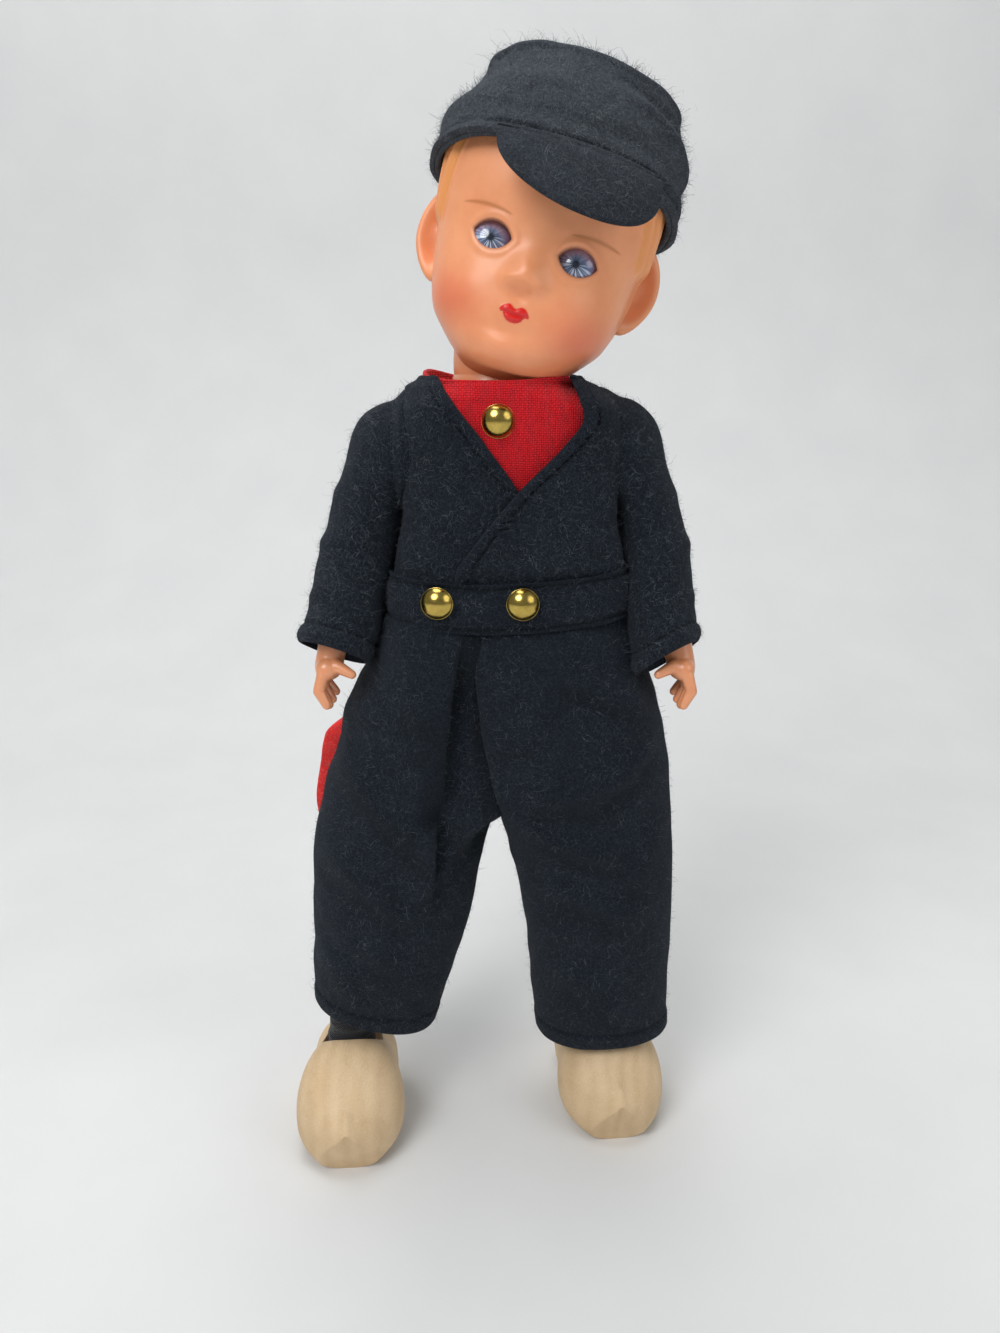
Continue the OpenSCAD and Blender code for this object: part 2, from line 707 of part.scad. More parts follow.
// Front edge of a front: a straight line from the neck down, then upright
lap_top_share = 0.76;
lap_low_share = -0.56;
under_top_share = 0.62;
under_low_share = -0.34;
lap_slope = 0.68;
function edge_x(s, top, low) = torso_half * max(low, top - lap_slope * (1 - s) * jacket_h / torso_half);
function edge_angle(s, x) = asin(spow(min(1, max(-1, x / jacket_a(s, felt_t))), 1 / jacket_e(s)));
function lap_out(t, over_side) = over_side * lap_t * ease((90 - abs(t)) / 40);
function front_rows(side, top, low, over_side, out) = [
    for (s = jacket_steps)
        let (
            edge = side * edge_angle(s, edge_x(s, top, low)),
            from = side > 0 ? edge : -90,
            to = side > 0 ? 90 : edge
        )
            [for (t = steps(from, to, 8)) jacket_point(s, t, out + lap_out(t, over_side))]
];
module jacket_front(side, top, low, over_side) difference() {
    sheet_shell(front_rows(side, top, low, over_side, felt_t), front_rows(side, top, low, over_side, 0));
    armholes();
}
module jacket_right_front() color("dimgray") jacket_front(-1, under_top_share, under_low_share, 0);
module jacket_left_front() color("dimgray") jacket_front(1, lap_top_share, lap_low_share, 1);

// Red cotton front and collar
dickey_steps = [0.43, 0.56, 0.7, 0.84, 0.92, 0.97];
dickey_angle = 64;
function dickey_rows(out) = [
    for (s = dickey_steps) [
        for (t = steps(-dickey_angle, dickey_angle, 8)) jacket_point(s, t, out - under_gap + 2 * sewn_gap)
    ]
];
module dickey() color("crimson") sheet_shell(dickey_rows(cotton_t), dickey_rows(0));
module collar() color("crimson") translate([neck_x, 0, seat_z + sewn_gap]) difference() {
    cylinder(r=collar_r + cotton_t, h=neck_z + collar_top - seat_z - sewn_gap);
    translate([0, 0, -over]) cylinder(r=collar_r, h=neck_rise + 2 * over);
}

// A brass stud on a wall, its middle at the wall and its dome outward
module stud(at, turn, tip) {
    dome_r = (stud_r * stud_r + stud_h * stud_h) / (2 * stud_h);
    color("gold") translate(at) rotate([90 + tip, 0, turn]) intersection() {
        translate([0, 0, stud_h - dome_r]) sphere(dome_r);
        cylinder(r=stud_r + over, h=stud_h);
    }
}
// Outline of the jacket at a height share: half-width and depth at a given layer
function jacket_a(s, out) = jacket_point(s, 90, out).x;
function jacket_f(s, out) = -jacket_point(s, 0, out).y;
stud_share = 0.86;
collar_stud_x = 0.2 * neck_x;
stud_tip = 6;
module collar_stud() {
    x = neck_x + collar_stud_x;
    layer = cotton_t - under_gap;
    y = front_at(jacket_a(stud_share, layer), jacket_f(stud_share, layer), head_e, x);
    stud([x, y - move_gap, jacket_z + stud_share * jacket_h], 0, stud_tip);
}

// Waistband
band_steps = [0, 0.5, 1];
function band_point(k, t, out) =
    let (s = k * waist_h / jacket_h, g = lap_t * ease((90 - min(abs(t), abs(360 - t))) / 40))
        jacket_point(s, t, felt_t + move_gap + g + out) + [0, 0, -sewn_gap];
waist_n = 28;
function waist_rings(out) = [for (k = band_steps) [for (t = round_angles(waist_n)) band_point(k, t, out)]];
module waistband() color("dimgray") tube_shell(waist_rings(felt_t), waist_rings(0));
right_stud_share = -0.55;
left_stud_share = 0.11;
stud_turn = 17;
module waist_stud(share) {
    p = band_point(0.6, 0, felt_t);
    a = band_point(0.6, 90, felt_t).x;
    x = share * a;
    y = front_at(a, -p.y, jacket_e(0), x);
    turn = stud_turn * share;
    stud([x, y - move_gap, p.z], turn, 0);
}
module right_waist_stud() waist_stud(right_stud_share);
module left_waist_stud() waist_stud(left_stud_share);

// Trousers. Each leg is drawn on the doll's left and mirrored for the right.
// Height share from hem to hip axis, outer share, inner share, depth share
leg_shares = [
    [0, 0, 0, 0],
    [0.16, 0.02, 0.22, 0.25],
    [0.3, 0.06, 0.4, 0.45],
    [0.44, 0.12, 0.56, 0.62],
    [0.58, 0.2, 0.7, 0.76],
    [0.7, 0.3, 0.82, 0.86],
    [0.85, 0.58, 0.95, 0.96],
    [1, 1, 1, 1]
];
// Angle over the hip axis, reach share
dome_shares = [[24, 0.94], [48, 0.86], [70, 0.8]];
leg_n = 24;
fork_x = crotch_half + 2 * move_gap;
fork_r = hip_r + 11 * move_gap;
strap_x = 0.76 * right_hip_out;
strap_w = 0.6 * hip_r;
strap_low_share = 0.7;
// A fold is a soft ridge: its angle, its height share and its spreads
leg_folds = [
    [-24, 0.5, 15, 0.1, 1],
    [20, 0.62, 13, 0.12, 0.9],
    [58, 0.36, 16, 0.13, 0.8],
    [-70, 0.25, 18, 0.12, 0.7]
];
fold_slant = 60;
function one_fold(f, u, s) =
    f[4] * exp(-pow((u - f[0] - fold_slant * (s - f[1])) / f[2], 2) - pow((s - f[1]) / f[3], 2));
function fold_at(t, s) =
    let (u = t > 180 ? t - 360 : t)
        fold_d * ([for (f = leg_folds) one_fold(f, u, s)] * [for (f = leg_folds) 1]);
function trouser_ring(r, hem_out, hem_in, hem_z, hem_rise, hip_out, in) =
    let (
        out_x = mix(hem_out, hip_out, r[1]),
        in_x = mix(hem_in, move_gap, r[2]),
        d = mix(hem_d, hip_r, r[3]),
        a = (out_x - in_x) / 2,
        z = mix(hem_z, hip_z, r[0])
    ) [
        for (t = round_angles(leg_n))
            let (
                f = fold_at(t, r[0]),
                p = level_point([(out_x + in_x) / 2, 0, z], a - in, d + f - fold_d - in, d - in, soft, t)
            )
                p + [0, 0, hem_rise * (p.x - (out_x + in_x) / 2) / (2 * a) * pow(1 - r[0], 2)]
    ];
function dome_ring(r, hip_out, in) =
    let (out_x = hip_out * r[1], a = (out_x - move_gap) / 2, d = (hip_r - in) * cos(r[0]))
        [
            for (t = round_angles(leg_n))
                level_point(
                    [(out_x + move_gap) / 2, 0, hip_z + (hip_r - in) * sin(r[0])],
                    a - in, d - fold_d * (1 - sin(r[0])), d, soft, t
                )
        ];
function trouser_rings(hem_out, hem_in, hem_z, hem_rise, hip_out, in) = concat(
    [for (r = leg_shares) trouser_ring(r, hem_out, hem_in, hem_z, hem_rise, hip_out, in)],
    [for (r = dome_shares) dome_ring(r, hip_out, in)]
);
module trouser_skin(hem_out, hem_in, hem_z, hem_rise, hip_out)
    cup_shell(
        trouser_rings(hem_out, hem_in, hem_z, hem_rise, hip_out, 0),
        trouser_rings(hem_out, hem_in, hem_z, hem_rise, hip_out, felt_t)
    );
module hip_drum(from, to, r) translate([from, 0, hip_z]) rotate([0, 90, 0]) cylinder(r=r, h=to - from);
module trouser_leg(hem_out, hem_in, hem_z, hem_rise, hip_out) color("dimgray") difference() {
    trouser_skin(hem_out, hem_in, hem_z, hem_rise, hip_out);
    hip_drum(-over, fork_x, fork_r);
    hip_drum(strap_x, 2 * right_hip_out, fork_r);
}
module right_trouser_leg() right_side()
    trouser_leg(right_hem_out, right_hem_in, right_hem_z, right_hem_rise, right_hip_out);
module left_trouser_leg() trouser_leg(left_hem_out, left_hem_in, left_hem_z, left_hem_rise, left_hip_out);
module hip_panel(hem_out, hem_in, hem_z, hem_rise, hip_out) color("dimgray") {
    intersection() {
        trouser_skin(hem_out, hem_in, hem_z, hem_rise, hip_out);
        hip_drum(strap_x + move_gap, 2 * right_hip_out, fork_r - move_gap);
    }
    translate([strap_x + move_gap, -strap_w / 2, hip_z + strap_low_share * hip_r])
        cube([felt_t, strap_w, seat_low - sewn_gap - hip_z - strap_low_share * hip_r]);
}
module right_hip_panel() right_side()
    hip_panel(right_hem_out, right_hem_in, right_hem_z, right_hem_rise, right_hip_out);
module left_hip_panel() hip_panel(left_hem_out, left_hem_in, left_hem_z, left_hem_rise, left_hip_out);

// Seat: ring over the hips and a gusset between the legs
seat_low = hip_z + hip_r + move_gap;
seat_steps = [0, 0.5, 1];
seat_share = 0.785;
function seat_point(k, t, in) =
    let (
        p = band_point(0, t, felt_t),
        q = level_point([0, 0, seat_low], seat_share * right_hip_out, hip_r, hip_r, soft, t),
        m = mix(q, [p.x, p.y, waist_z - sewn_gap], k),
        c = norm([m.x, m.y])
    ) [m.x * (c - in) / c, m.y * (c - in) / c, m.z];
module trouser_seat() color("dimgray") difference() {
    union() {
        tube_shell(
            [for (k = seat_steps) [for (t = round_angles(waist_n)) seat_point(k, t, 0)]],
            [for (k = seat_steps) [for (t = round_angles(waist_n)) seat_point(k, t, felt_t)]]
        );
        translate([-fork_x + move_gap, 0, hip_z]) rotate([90, 0, 90]) linear_extrude(2 * (fork_x - move_gap))
            difference() {
                union() {
                    circle(hip_r - sewn_gap);
                    translate([-hip_r + sewn_gap, 0]) square([2 * (hip_r - sewn_gap), hip_r + felt_t]);
                }
                circle(hip_r - felt_t);
                translate([-hip_r + felt_t, 0]) square([2 * (hip_r - felt_t), hip_r + over]);
            }
    }
    translate([0, felt_t / 2 - hip_r, hip_z]) rotate([90, 0, 0]) linear_extrude(over)
        polygon([[-fork_x, hip_r], [-fork_x, -hip_r], [-fork_x + pleat_w, -hip_r]]);
}

// Red felt corner that hangs out at the doll's right hip. Height share of the hip radius, reach share
kerchief_shares = [[0.1, 0.25], [-0.3, 0.7], [-0.75, 1], [-1.2, 0.9], [-1.42, 0.6]];
kerchief_reach = 0.16 * hip_r;
kerchief_y = 0.12 * hip_r;
// Reach of the trousers at a distance below the hip axis
function trouser_reach(l) =
    mix(right_hem_out, right_hip_out, lookup_in(leg_shares, 1 - l / (hip_z - right_hem_z), 1));
function kerchief_in(h) = trouser_reach(norm([h * hip_r, kerchief_y])) + move_gap;
module handkerchief() color("crimson")
    translate([0, kerchief_y + felt_t, hip_z]) rotate([90, 0, 0]) linear_extrude(felt_t) polygon(concat(
        [for (r = kerchief_shares) [-kerchief_in(r[0]), r[0] * hip_r]],
        [
            for (i = [len(kerchief_shares) - 1:-1:0])
                let (r = kerchief_shares[i]) [-kerchief_in(r[0]) - r[1] * kerchief_reach, r[0] * hip_r]
        ]
    ));

// Arms. Sideways share of the reach, drop share, radius share, splay, forward share
arm_shares = [
    [0.17, 0.01, 1.6, -84, 0],
    [0.34, 0.07, 1.32, -70, 0],
    [0.53, 0.21, 1.1, -46, 0],
    [0.68, 0.4, 1.02, -26, 0.08],
    [0.79, 0.62, 0.96, -14, 0.3],
    [0.9, 0.84, 0.86, -12, 0.56],
    [0.97, 1, 0.74, -14, 0.8]
];
// Hands: outward share of the length, drop share, width share, depth share, splay, forward share
hand_shares = [
    [0.06, 0.24, 0.68, 0.92, -10, 1],
    [0.12, 0.45, 0.62, 1, -4, 1.1],
    [0.14, 0.66, 0.52, 0.96, 8, 1.15],
    [0.08, 0.84, 0.42, 0.8, 26, 1.16],
    [-0.04, 0.97, 0.28, 0.5, 44, 1.14]
];
arm_n = 14;
function arm_ring(r, reach, out) =
    let (
        w = r[2] * arm_r + out,
        c = [arm_face + r[0] * reach, -r[4] * hand_forward, shoulder_z - r[1] * arm_drop]
    )
        limb_ring(c, w, w, w, 1, 0, r[3], arm_n);
function wrist(reach) = [arm_face + 0.97 * reach, 0, shoulder_z - arm_drop];
function hand_ring(r, reach) = limb_ring(
    wrist(reach) + [r[0] * hand_l, -r[5] * hand_forward, -r[1] * hand_l],
    r[2] * hand_w / 2, r[3] * hand_w / 2, r[3] * hand_w / 2, 0.9, 0, r[4], arm_n
);
function arm_start(out) =
    let (w = shoulder_r + out) limb_ring([arm_face, 0, shoulder_z], w, w, w, 1, 0, -90, arm_n);
// Thumb: share of its length, thickness share
thumb_shares = [[0, 0.42], [0.35, 0.4], [0.75, 0.34], [1, 0.22]];
thumb_from = [-0.02, -0.26];
thumb_to = [-0.36, -0.42];
thumb_splay = 58;
thumb_n = 8;
function thumb_end(reach, at, y) = wrist(reach) + [at[0] * hand_l, -y * hand_forward, at[1] * hand_l];
module arm(reach) color("peachpuff") {
    cup_shell(
        concat(
            [arm_start(0)],
            [for (r = arm_shares) arm_ring(r, reach, 0)],
            [for (r = hand_shares) hand_ring(r, reach)]
        ),
        concat([arm_start(-shell_t)], [for (i = [0:5]) arm_ring(arm_shares[i], reach, -shell_t)])
    );
    solid_loft([
        for (r = thumb_shares)
            let (
                w = r[1] * hand_w / 2,
                c = mix(thumb_end(reach, thumb_from, 1.15), thumb_end(reach, thumb_to, 1.36), r[0])
            )
                limb_ring(c, w, w, w, 1, 0, thumb_splay, thumb_n)
    ]);
}
module left_arm() arm(left_arm_reach);
module right_arm() right_side() arm(right_arm_reach);
module limb_disc(face, z, r) color("tan") translate([face, 0, z]) rotate([0, 90, 0]) difference() {
    cylinder(r=r, h=disc_t);
    translate([0, 0, -over]) cylinder(r=elastic_r + run_gap, h=disc_t + 2 * over);
}
shoulder_disc_r = (shoulder_r - shell_t) * cos(180 / arm_n) - 2 * move_gap;
module left_shoulder_disc() limb_disc(arm_face, shoulder_z, shoulder_disc_r);
module right_shoulder_disc() right_side() left_shoulder_disc();

// Sleeves: inner seam's lean share, drop share, narrowing share, splay, pitch, forward share
sleeve_shares = [
    [0.13, 0.32, 0.29, -72, 0, 0],
    [0.21, 0.38, 0.84, -46, 0, 0.02],
    [0.46, 0.55, 1, -26, -6, 0.12],
    [0.6, 0.71, 1, -14, -14, 0.34],
    [0.76, 0.88, 1, -12, -18, 0.58],
    [0.95, 1.02, 0.97, -18, -22, 0.74]
];
sleeve_face = torso_half + under_gap + felt_t + move_gap;
sleeve_n = 20;
sleeve_deep = 0.2 * left_sleeve_w;
// Soft elbow folds along the sleeve
function sleeve_fold(s) = fold_d * sin(600 * s) / 2;
function sleeve_ring(r, width, out, way) =
    let (
        w = mix(sleeve_head_r, width / 2, r[2]),
        d = w + sleeve_deep * r[2] + out,
        seam = [sleeve_face + r[0] * sleeve_lean, -r[5] * hand_forward, shoulder_z - r[1] * arm_drop],
        c = seam + [w * cos(r[3]), 0, -w * sin(r[3])]
    )
        limb_ring(c + way, w + out, d + sleeve_fold(r[1]), d, 1, r[4], r[3], sleeve_n);
function sleeve_start(out) =
    let (w = sleeve_head_r + out) limb_ring([sleeve_face, 0, shoulder_z], w, w, w, 1, 0, -90, sleeve_n);
function sleeve_rings(width, out) = concat(
    [sleeve_start(out)],
    [for (r = sleeve_shares) sleeve_ring(r, width, out, [0, 0, 0])]
);
module sleeve(width) color("dimgray") tube_shell(sleeve_rings(width, 0), sleeve_rings(width, -felt_t));
module left_sleeve() sleeve(left_sleeve_w);
module right_sleeve() right_side() sleeve(right_sleeve_w);

// Rolled cuffs under the sleeves' ends: share of the height, outward share, inward share
cuff_shares = [[0, -0.4, 0.9], [0.35, 0.4, 1], [0.75, 0.4, 1], [1, -0.3, 0.7]];
cuff_way = [0.3, -0.36, -0.88];
function cuff_rings(width, k) = [
    for (r = cuff_shares)
        sleeve_ring(
            sleeve_shares[5], width,
            k == 1 ? r[1] * felt_t : -r[2] * felt_t,
            cuff_way * (sewn_gap + r[0] * cuff_h)
        )
];
module cuff(width) color("dimgray") tube_shell(cuff_rings(width, 1), cuff_rings(width, 0));
module left_cuff() cuff(left_sleeve_w);
module right_cuff() right_side() cuff(right_sleeve_w);

// Legs. Share of the way from the thigh to the ankle, radius share of the hip disc, drawn on the doll's left
shin_shares = [[0, 0.82], [0.22, 0.8], [0.45, 0.76], [0.66, 0.72], [0.84, 0.63]];
ball_share = 0.36;
toe_share = 0.47;
// Foot: forward share of the clog, height share of the sole, width share, height share, pitch
foot_shares = [
    [0.02, 1.5, 1.15, 1.15, -22],
    [0.1, 1.12, 1.2, 1.2, -52],
    [0.22, 0.95, 1.25, 1.02, -78],
    [ball_share, 0.86, 1.25, 0.92, -90],
    [toe_share, 0.82, 1.0, 0.76, -90]
];
leg_ring_n = 14;
thigh_share = 0.85;
ankle_z = 2.4 * sole_z;
thigh_x = leg_face + thigh_share * hip_disc_r;
thigh_z = hip_z - 1.3 * hip_disc_r;
stocking_t = 0.4 * felt_t;
function leg_ring(c, r, pitch, splay) = limb_ring(c, r, r, r, 1, pitch, splay, leg_ring_n);
function shin_at(s, x, y) = mix([thigh_x, 0, thigh_z], [x, y, ankle_z], s);
function shin_rings(x, y, from, out) =
    let (lean = atan((x - thigh_x) / (ankle_z - thigh_z)))
        [
            for (i = [from:len(shin_shares) - 1])
                let (r = shin_shares[i]) leg_ring(shin_at(r[0], x, y), r[1] * hip_disc_r + out, 0, lean)
        ];
function foot_rings(x, y, toe, out) = concat(
    [leg_ring([x, y, ankle_z], ankle_r + out, 0, 0)],
    [
        for (r = foot_shares)
            let (
                q = -r[0] * clog_l - out * ease((r[0] - ball_share) / (toe_share - ball_share)),
                w = r[2] * ankle_r + out,
                d = r[3] * ankle_r + out
            )
                [
                    for (p = limb_ring([0, 0, 0], w, d, d, head_e, r[4], 0, leg_ring_n))
                        let (v = p + [0, q, r[1] * sole_z])
                            [x + v.x * cos(toe) - v.y * sin(toe), y + v.x * sin(toe) + v.y * cos(toe), v.z]
                ]
    ]
);
// Hip: sideways share of the disc, drop share, radius share, splay
hip_shares = [[0, 0, 1, -90], [0.22, 0.02, 1, -80], [0.64, 0.36, 0.94, -52], [0.84, 0.84, 0.83, -24]];
function hip_rings(in) = [
    for (r = hip_shares)
        let (c = [leg_face + r[0] * hip_disc_r, 0, hip_z - r[1] * hip_disc_r])
            leg_ring(c, r[2] * hip_disc_r + in, 0, r[3])
];
module leg(x, y, toe) color("peachpuff") cup_shell(
    concat(hip_rings(0), shin_rings(x, y, 0, 0), foot_rings(x, y, toe, 0)),
    concat(hip_rings(-shell_t), shin_rings(x, y, 0, -shell_t))
);
module stocking(x, y, toe) color("black") cup_shell(
    concat(shin_rings(x, y, 3, sewn_gap + stocking_t), foot_rings(x, y, toe, sewn_gap + stocking_t)),
    concat(shin_rings(x, y, 3, sewn_gap), foot_rings(x, y, toe, sewn_gap))
);
hip_plug_r = (hip_disc_r - shell_t) * cos(180 / leg_ring_n) - 2 * move_gap;
module left_leg() leg(left_ankle_x, left_ankle_y, left_toe);
module right_leg() right_side() leg(right_ankle_x, right_ankle_y, right_toe);
module left_hip_disc() limb_disc(leg_face, hip_z, hip_plug_r);
module right_hip_disc() right_side() left_hip_disc();
module left_stocking() stocking(left_ankle_x, left_ankle_y, left_toe);
module right_stocking() right_side() stocking(right_ankle_x, right_ankle_y, right_toe);

// Clogs: forward share, half-width share, top share, underside share
clog_shares = [
    [0, 0.3, 0.6, 0.12],
    [0.03, 0.55, 0.72, 0.03],
    [0.1, 0.76, 0.79, -0.02],
    [0.22, 0.84, 0.8, -0.02],
    [0.36, 0.86, 0.86, -0.02],
    [0.48, 0.92, 0.96, -0.02],
    [0.58, 0.98, 1, -0.02],
    [0.68, 1, 0.985, -0.02],
    [0.78, 0.92, 0.94, -0.02],
    [0.85, 0.76, 0.9, 0],
    [0.91, 0.48, 0.875, 0.26],
    [0.96, 0.24, 0.875, 0.5],
    [1, 0.09, 0.9, 0.76]
];
clog_n = 20;
clog_back = 0.39;
function clog_rings() = [
    for (r = clog_shares)
        let (low = r[3] * clog_h, top = r[2] * clog_h, mid = mix(low, top, 0.4))
            [
                for (t = round_angles(clog_n))
                    let (k = cos(t))
                        [
                            -r[1] * clog_w / 2 * spow(sin(t), 0.8),
                            (clog_back - r[0]) * clog_l,
                            k > 0 ? mid + (top - mid) * spow(k, 0.95) : mid + (mid - low) * spow(k, 0.5)
                        ]
            ]
];
module clog(x, y, toe) color("burlywood") difference() {
    translate([x, y, 0]) rotate([0, 0, toe]) difference() {
        solid_loft(clog_rings());
        translate([-clog_w, -clog_l, -clog_h]) cube([2 * clog_w, 2 * clog_l, clog_h]);
        translate([0, 0, 0.9 * sole_z]) {
            cylinder(r=1.5 * ankle_r, h=clog_h);
            translate([0, 0.2 * clog_l, 0]) cylinder(r=1.1 * ankle_r, h=clog_h);
            translate([-1.1 * ankle_r, 0, 0]) cube([2.2 * ankle_r, 0.2 * clog_l, clog_h]);
        }
    }
    solid_loft(concat(
        [leg_ring([x, y, ankle_z + over], ankle_r + stocking_t + 3 * sewn_gap, 0, 0)],
        foot_rings(x, y, toe, stocking_t + 3 * sewn_gap)
    ));
}
module left_clog() clog(left_ankle_x, left_ankle_y, left_toe);
module right_clog() right_side() clog(right_ankle_x, right_ankle_y, right_toe);

place() {
    head_front();
    head_back();
    eye_bracket();
    right_eye();
    left_eye();
    eye_axle();
    eye_weight();
    cap_crown();
    cap_band();
    cap_peak();
    neck_ball();
    neck_stirrup();
    neck_socket();
    torso_front();
    torso_back();
    jacket_back();
    jacket_right_front();
    jacket_left_front();
    dickey();
    collar();
    collar_stud();
    waistband();
    right_waist_stud();
    left_waist_stud();
    trouser_seat();
    right_hip_panel();
    left_hip_panel();
    handkerchief();
    arm_elastic();
    leg_elastic();
    neck_elastic();
    right_arm();
    left_arm();
    right_shoulder_disc();
    left_shoulder_disc();
    right_sleeve();
    left_sleeve();
    right_cuff();
    left_cuff();
    right_leg();
    left_leg();
    right_hip_disc();
    left_hip_disc();
    right_stocking();
    left_stocking();
    right_trouser_leg();
    left_trouser_leg();
    right_clog();
    left_clog();
}
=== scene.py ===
"""Looks of a strung costume doll: moulded head, felt clothes, red cotton, brass studs and wooden clogs."""
import functools
import json
import math

import bmesh
import bpy
import numpy as np
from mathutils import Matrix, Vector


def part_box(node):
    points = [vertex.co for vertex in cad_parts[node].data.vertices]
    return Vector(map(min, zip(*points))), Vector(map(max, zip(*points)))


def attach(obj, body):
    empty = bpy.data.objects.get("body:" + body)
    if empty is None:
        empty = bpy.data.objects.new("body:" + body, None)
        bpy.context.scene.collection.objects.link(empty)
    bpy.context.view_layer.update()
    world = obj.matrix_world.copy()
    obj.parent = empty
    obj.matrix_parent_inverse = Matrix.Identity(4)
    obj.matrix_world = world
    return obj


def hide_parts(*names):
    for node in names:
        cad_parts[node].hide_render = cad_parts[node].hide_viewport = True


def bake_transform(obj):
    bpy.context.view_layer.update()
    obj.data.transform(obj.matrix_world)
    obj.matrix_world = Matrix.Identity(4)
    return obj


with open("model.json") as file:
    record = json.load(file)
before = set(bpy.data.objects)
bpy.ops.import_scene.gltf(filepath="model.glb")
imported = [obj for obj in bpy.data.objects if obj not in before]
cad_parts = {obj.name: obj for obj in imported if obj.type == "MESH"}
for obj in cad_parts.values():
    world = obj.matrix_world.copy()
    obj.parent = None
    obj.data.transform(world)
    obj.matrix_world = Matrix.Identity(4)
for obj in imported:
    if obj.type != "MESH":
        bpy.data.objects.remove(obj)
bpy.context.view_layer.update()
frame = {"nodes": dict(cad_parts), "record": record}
JOINTS = {j["name"]: j for j in frame["record"]["behaviour"]["joints"]}
NECK = 1000 * np.array(JOINTS["neck_turn"]["pos_m"])
NECK_X = -2.0
HIP_Z = 1000 * JOINTS["left_hip"]["pos_m"][2]
SHOULDER_Z = 1000 * JOINTS["left_shoulder"]["pos_m"][2]
STAND = np.array([NECK[0] - NECK_X, NECK[1], 0])
# Thickness of the felt in millimetres
FELT = 1.5
SIDES = {-1: "right", 1: "left"}


# Sums on arrays of points, in millimetres from the doll's middle line
def ease(v):
    u = np.clip(v, 0, 1)
    return u * u * (3 - 2 * u)


def mix(a, b, s):
    return a + (b - a) * s


def spow(v, e):
    return np.sign(v) * np.abs(v) ** e


def hump(v, middle, spread):
    return np.exp(-(((v - middle) / spread) ** 2))


def mound(u, v, middle, spread):
    """A soft round rise at a place on a surface."""
    return np.exp(-(((u - middle[0]) / spread[0]) ** 2) - ((v - middle[1]) / spread[1]) ** 2)


def pair(u, v, middle, spread):
    """Two soft rises, one on each side."""
    return sum(mound(u, v, (way * middle[0], middle[1]), spread) for way in SIDES)


def circle(count):
    """Angles round a ring, in degrees."""
    return np.linspace(0, 360, count, endpoint=False)


def signed(t):
    """Angles from -180 to 180 degrees."""
    return np.where(t > 180, t - 360, t)


def stacked(*axes):
    """Points from coordinates that may differ in shape."""
    return np.stack(np.broadcast_arrays(*axes), -1)


def stitches(t, count):
    """Depth shares of a row of stitches round a ring."""
    return 0.75 + 0.25 * np.sign(np.sin(np.radians(t) * count))


def mirrored(side, *grids):
    """Grids drawn on the doll's left, put on a side."""
    return [g * (side, 1, 1) for g in grids]


def outward(grid):
    """Ways out from the middle of each ring."""
    return unit(grid - grid.mean(axis=1, keepdims=True))


def unit(v):
    return v / np.maximum(np.linalg.norm(v, axis=-1, keepdims=True), 1e-9)


def turn(axis, g):
    c, s = math.cos(math.radians(g)), math.sin(math.radians(g))
    i, j = (axis + 1) % 3, (axis + 2) % 3
    m = np.eye(3)
    m[i, i] = m[j, j] = c
    m[i, j], m[j, i] = -s, s
    return m


turn_x, turn_y, turn_z = (functools.partial(turn, axis) for axis in range(3))


def hermite(a, b, slope_a, slope_b, u):
    """Smooth values between a and b."""
    return (
        a * (1 + 2 * u) * (1 - u) ** 2
        + slope_a * u * (1 - u) ** 2
        + b * u * u * (3 - 2 * u)
        - slope_b * u * u * (1 - u)
    )


def curve(table, s, column):
    """Smooth value of a column at shares s in a table whose first column rises."""
    xs, ys = np.array([r[0] for r in table], float), np.array([r[column] for r in table], float)
    slopes = np.gradient(ys, xs)
    s = np.clip(s, xs[0], xs[-1])
    i = np.clip(np.searchsorted(xs, s) - 1, 0, len(xs) - 2)
    h = xs[i + 1] - xs[i]
    u = (s - xs[i]) / h
    return hermite(ys[i], ys[i + 1], slopes[i] * h, slopes[i + 1] * h, u)


def level(x, z, a, f, b, e, t):
    """Points on level rings: middle, half-width, front and back depth, squareness, angle from the front."""
    s, k = np.sin(np.radians(t)), spow(np.cos(np.radians(t)), e)
    return stacked(x + a * spow(s, e), -np.where(k > 0, f, b) * k, z)


def ring(x, z, r, t):
    """Points on a level circle."""
    return level(x, z, r, r, r, 1, t)


def limb(c, a, d, e, pitch, splay, t):
    """A ring that looks down, then is pitched and splayed."""
    p = level(0, 0, a, d, d, e, t) * (-1, 1, 1)
    return np.asarray(c) + p @ turn_x(pitch).T @ turn_y(splay).T


def loft(rings, rows):
    """Rings on smooth curves through the given ones, evenly along their length."""
    rings = np.asarray(rings, float)
    gaps = np.linalg.norm(np.diff(rings, axis=0), axis=2).mean(axis=1)
    along = np.concatenate([[0], np.cumsum(gaps)])
    slopes = np.gradient(rings, along, axis=0)
    s = np.linspace(0, along[-1], rows)
    i = np.clip(np.searchsorted(along, s) - 1, 0, len(along) - 2)
    h = (along[i + 1] - along[i])[:, None, None]
    u = ((s - along[i])[:, None, None]) / h
    return hermite(rings[i], rings[i + 1], slopes[i] * h, slopes[i + 1] * h, u)


def ripple(p, seed, size):
    """Smooth uneven values from -1 to 1, from a few seeded waves of about the given length."""
    rng = np.random.default_rng(seed)
    total = 0
    for _ in range(9):
        way = unit(rng.normal(size=3)) * 2 * math.pi / (size * rng.uniform(0.7, 1.8))
        total = total + np.sin(p @ way + rng.uniform(0, 6.3))
    return total / 4.5


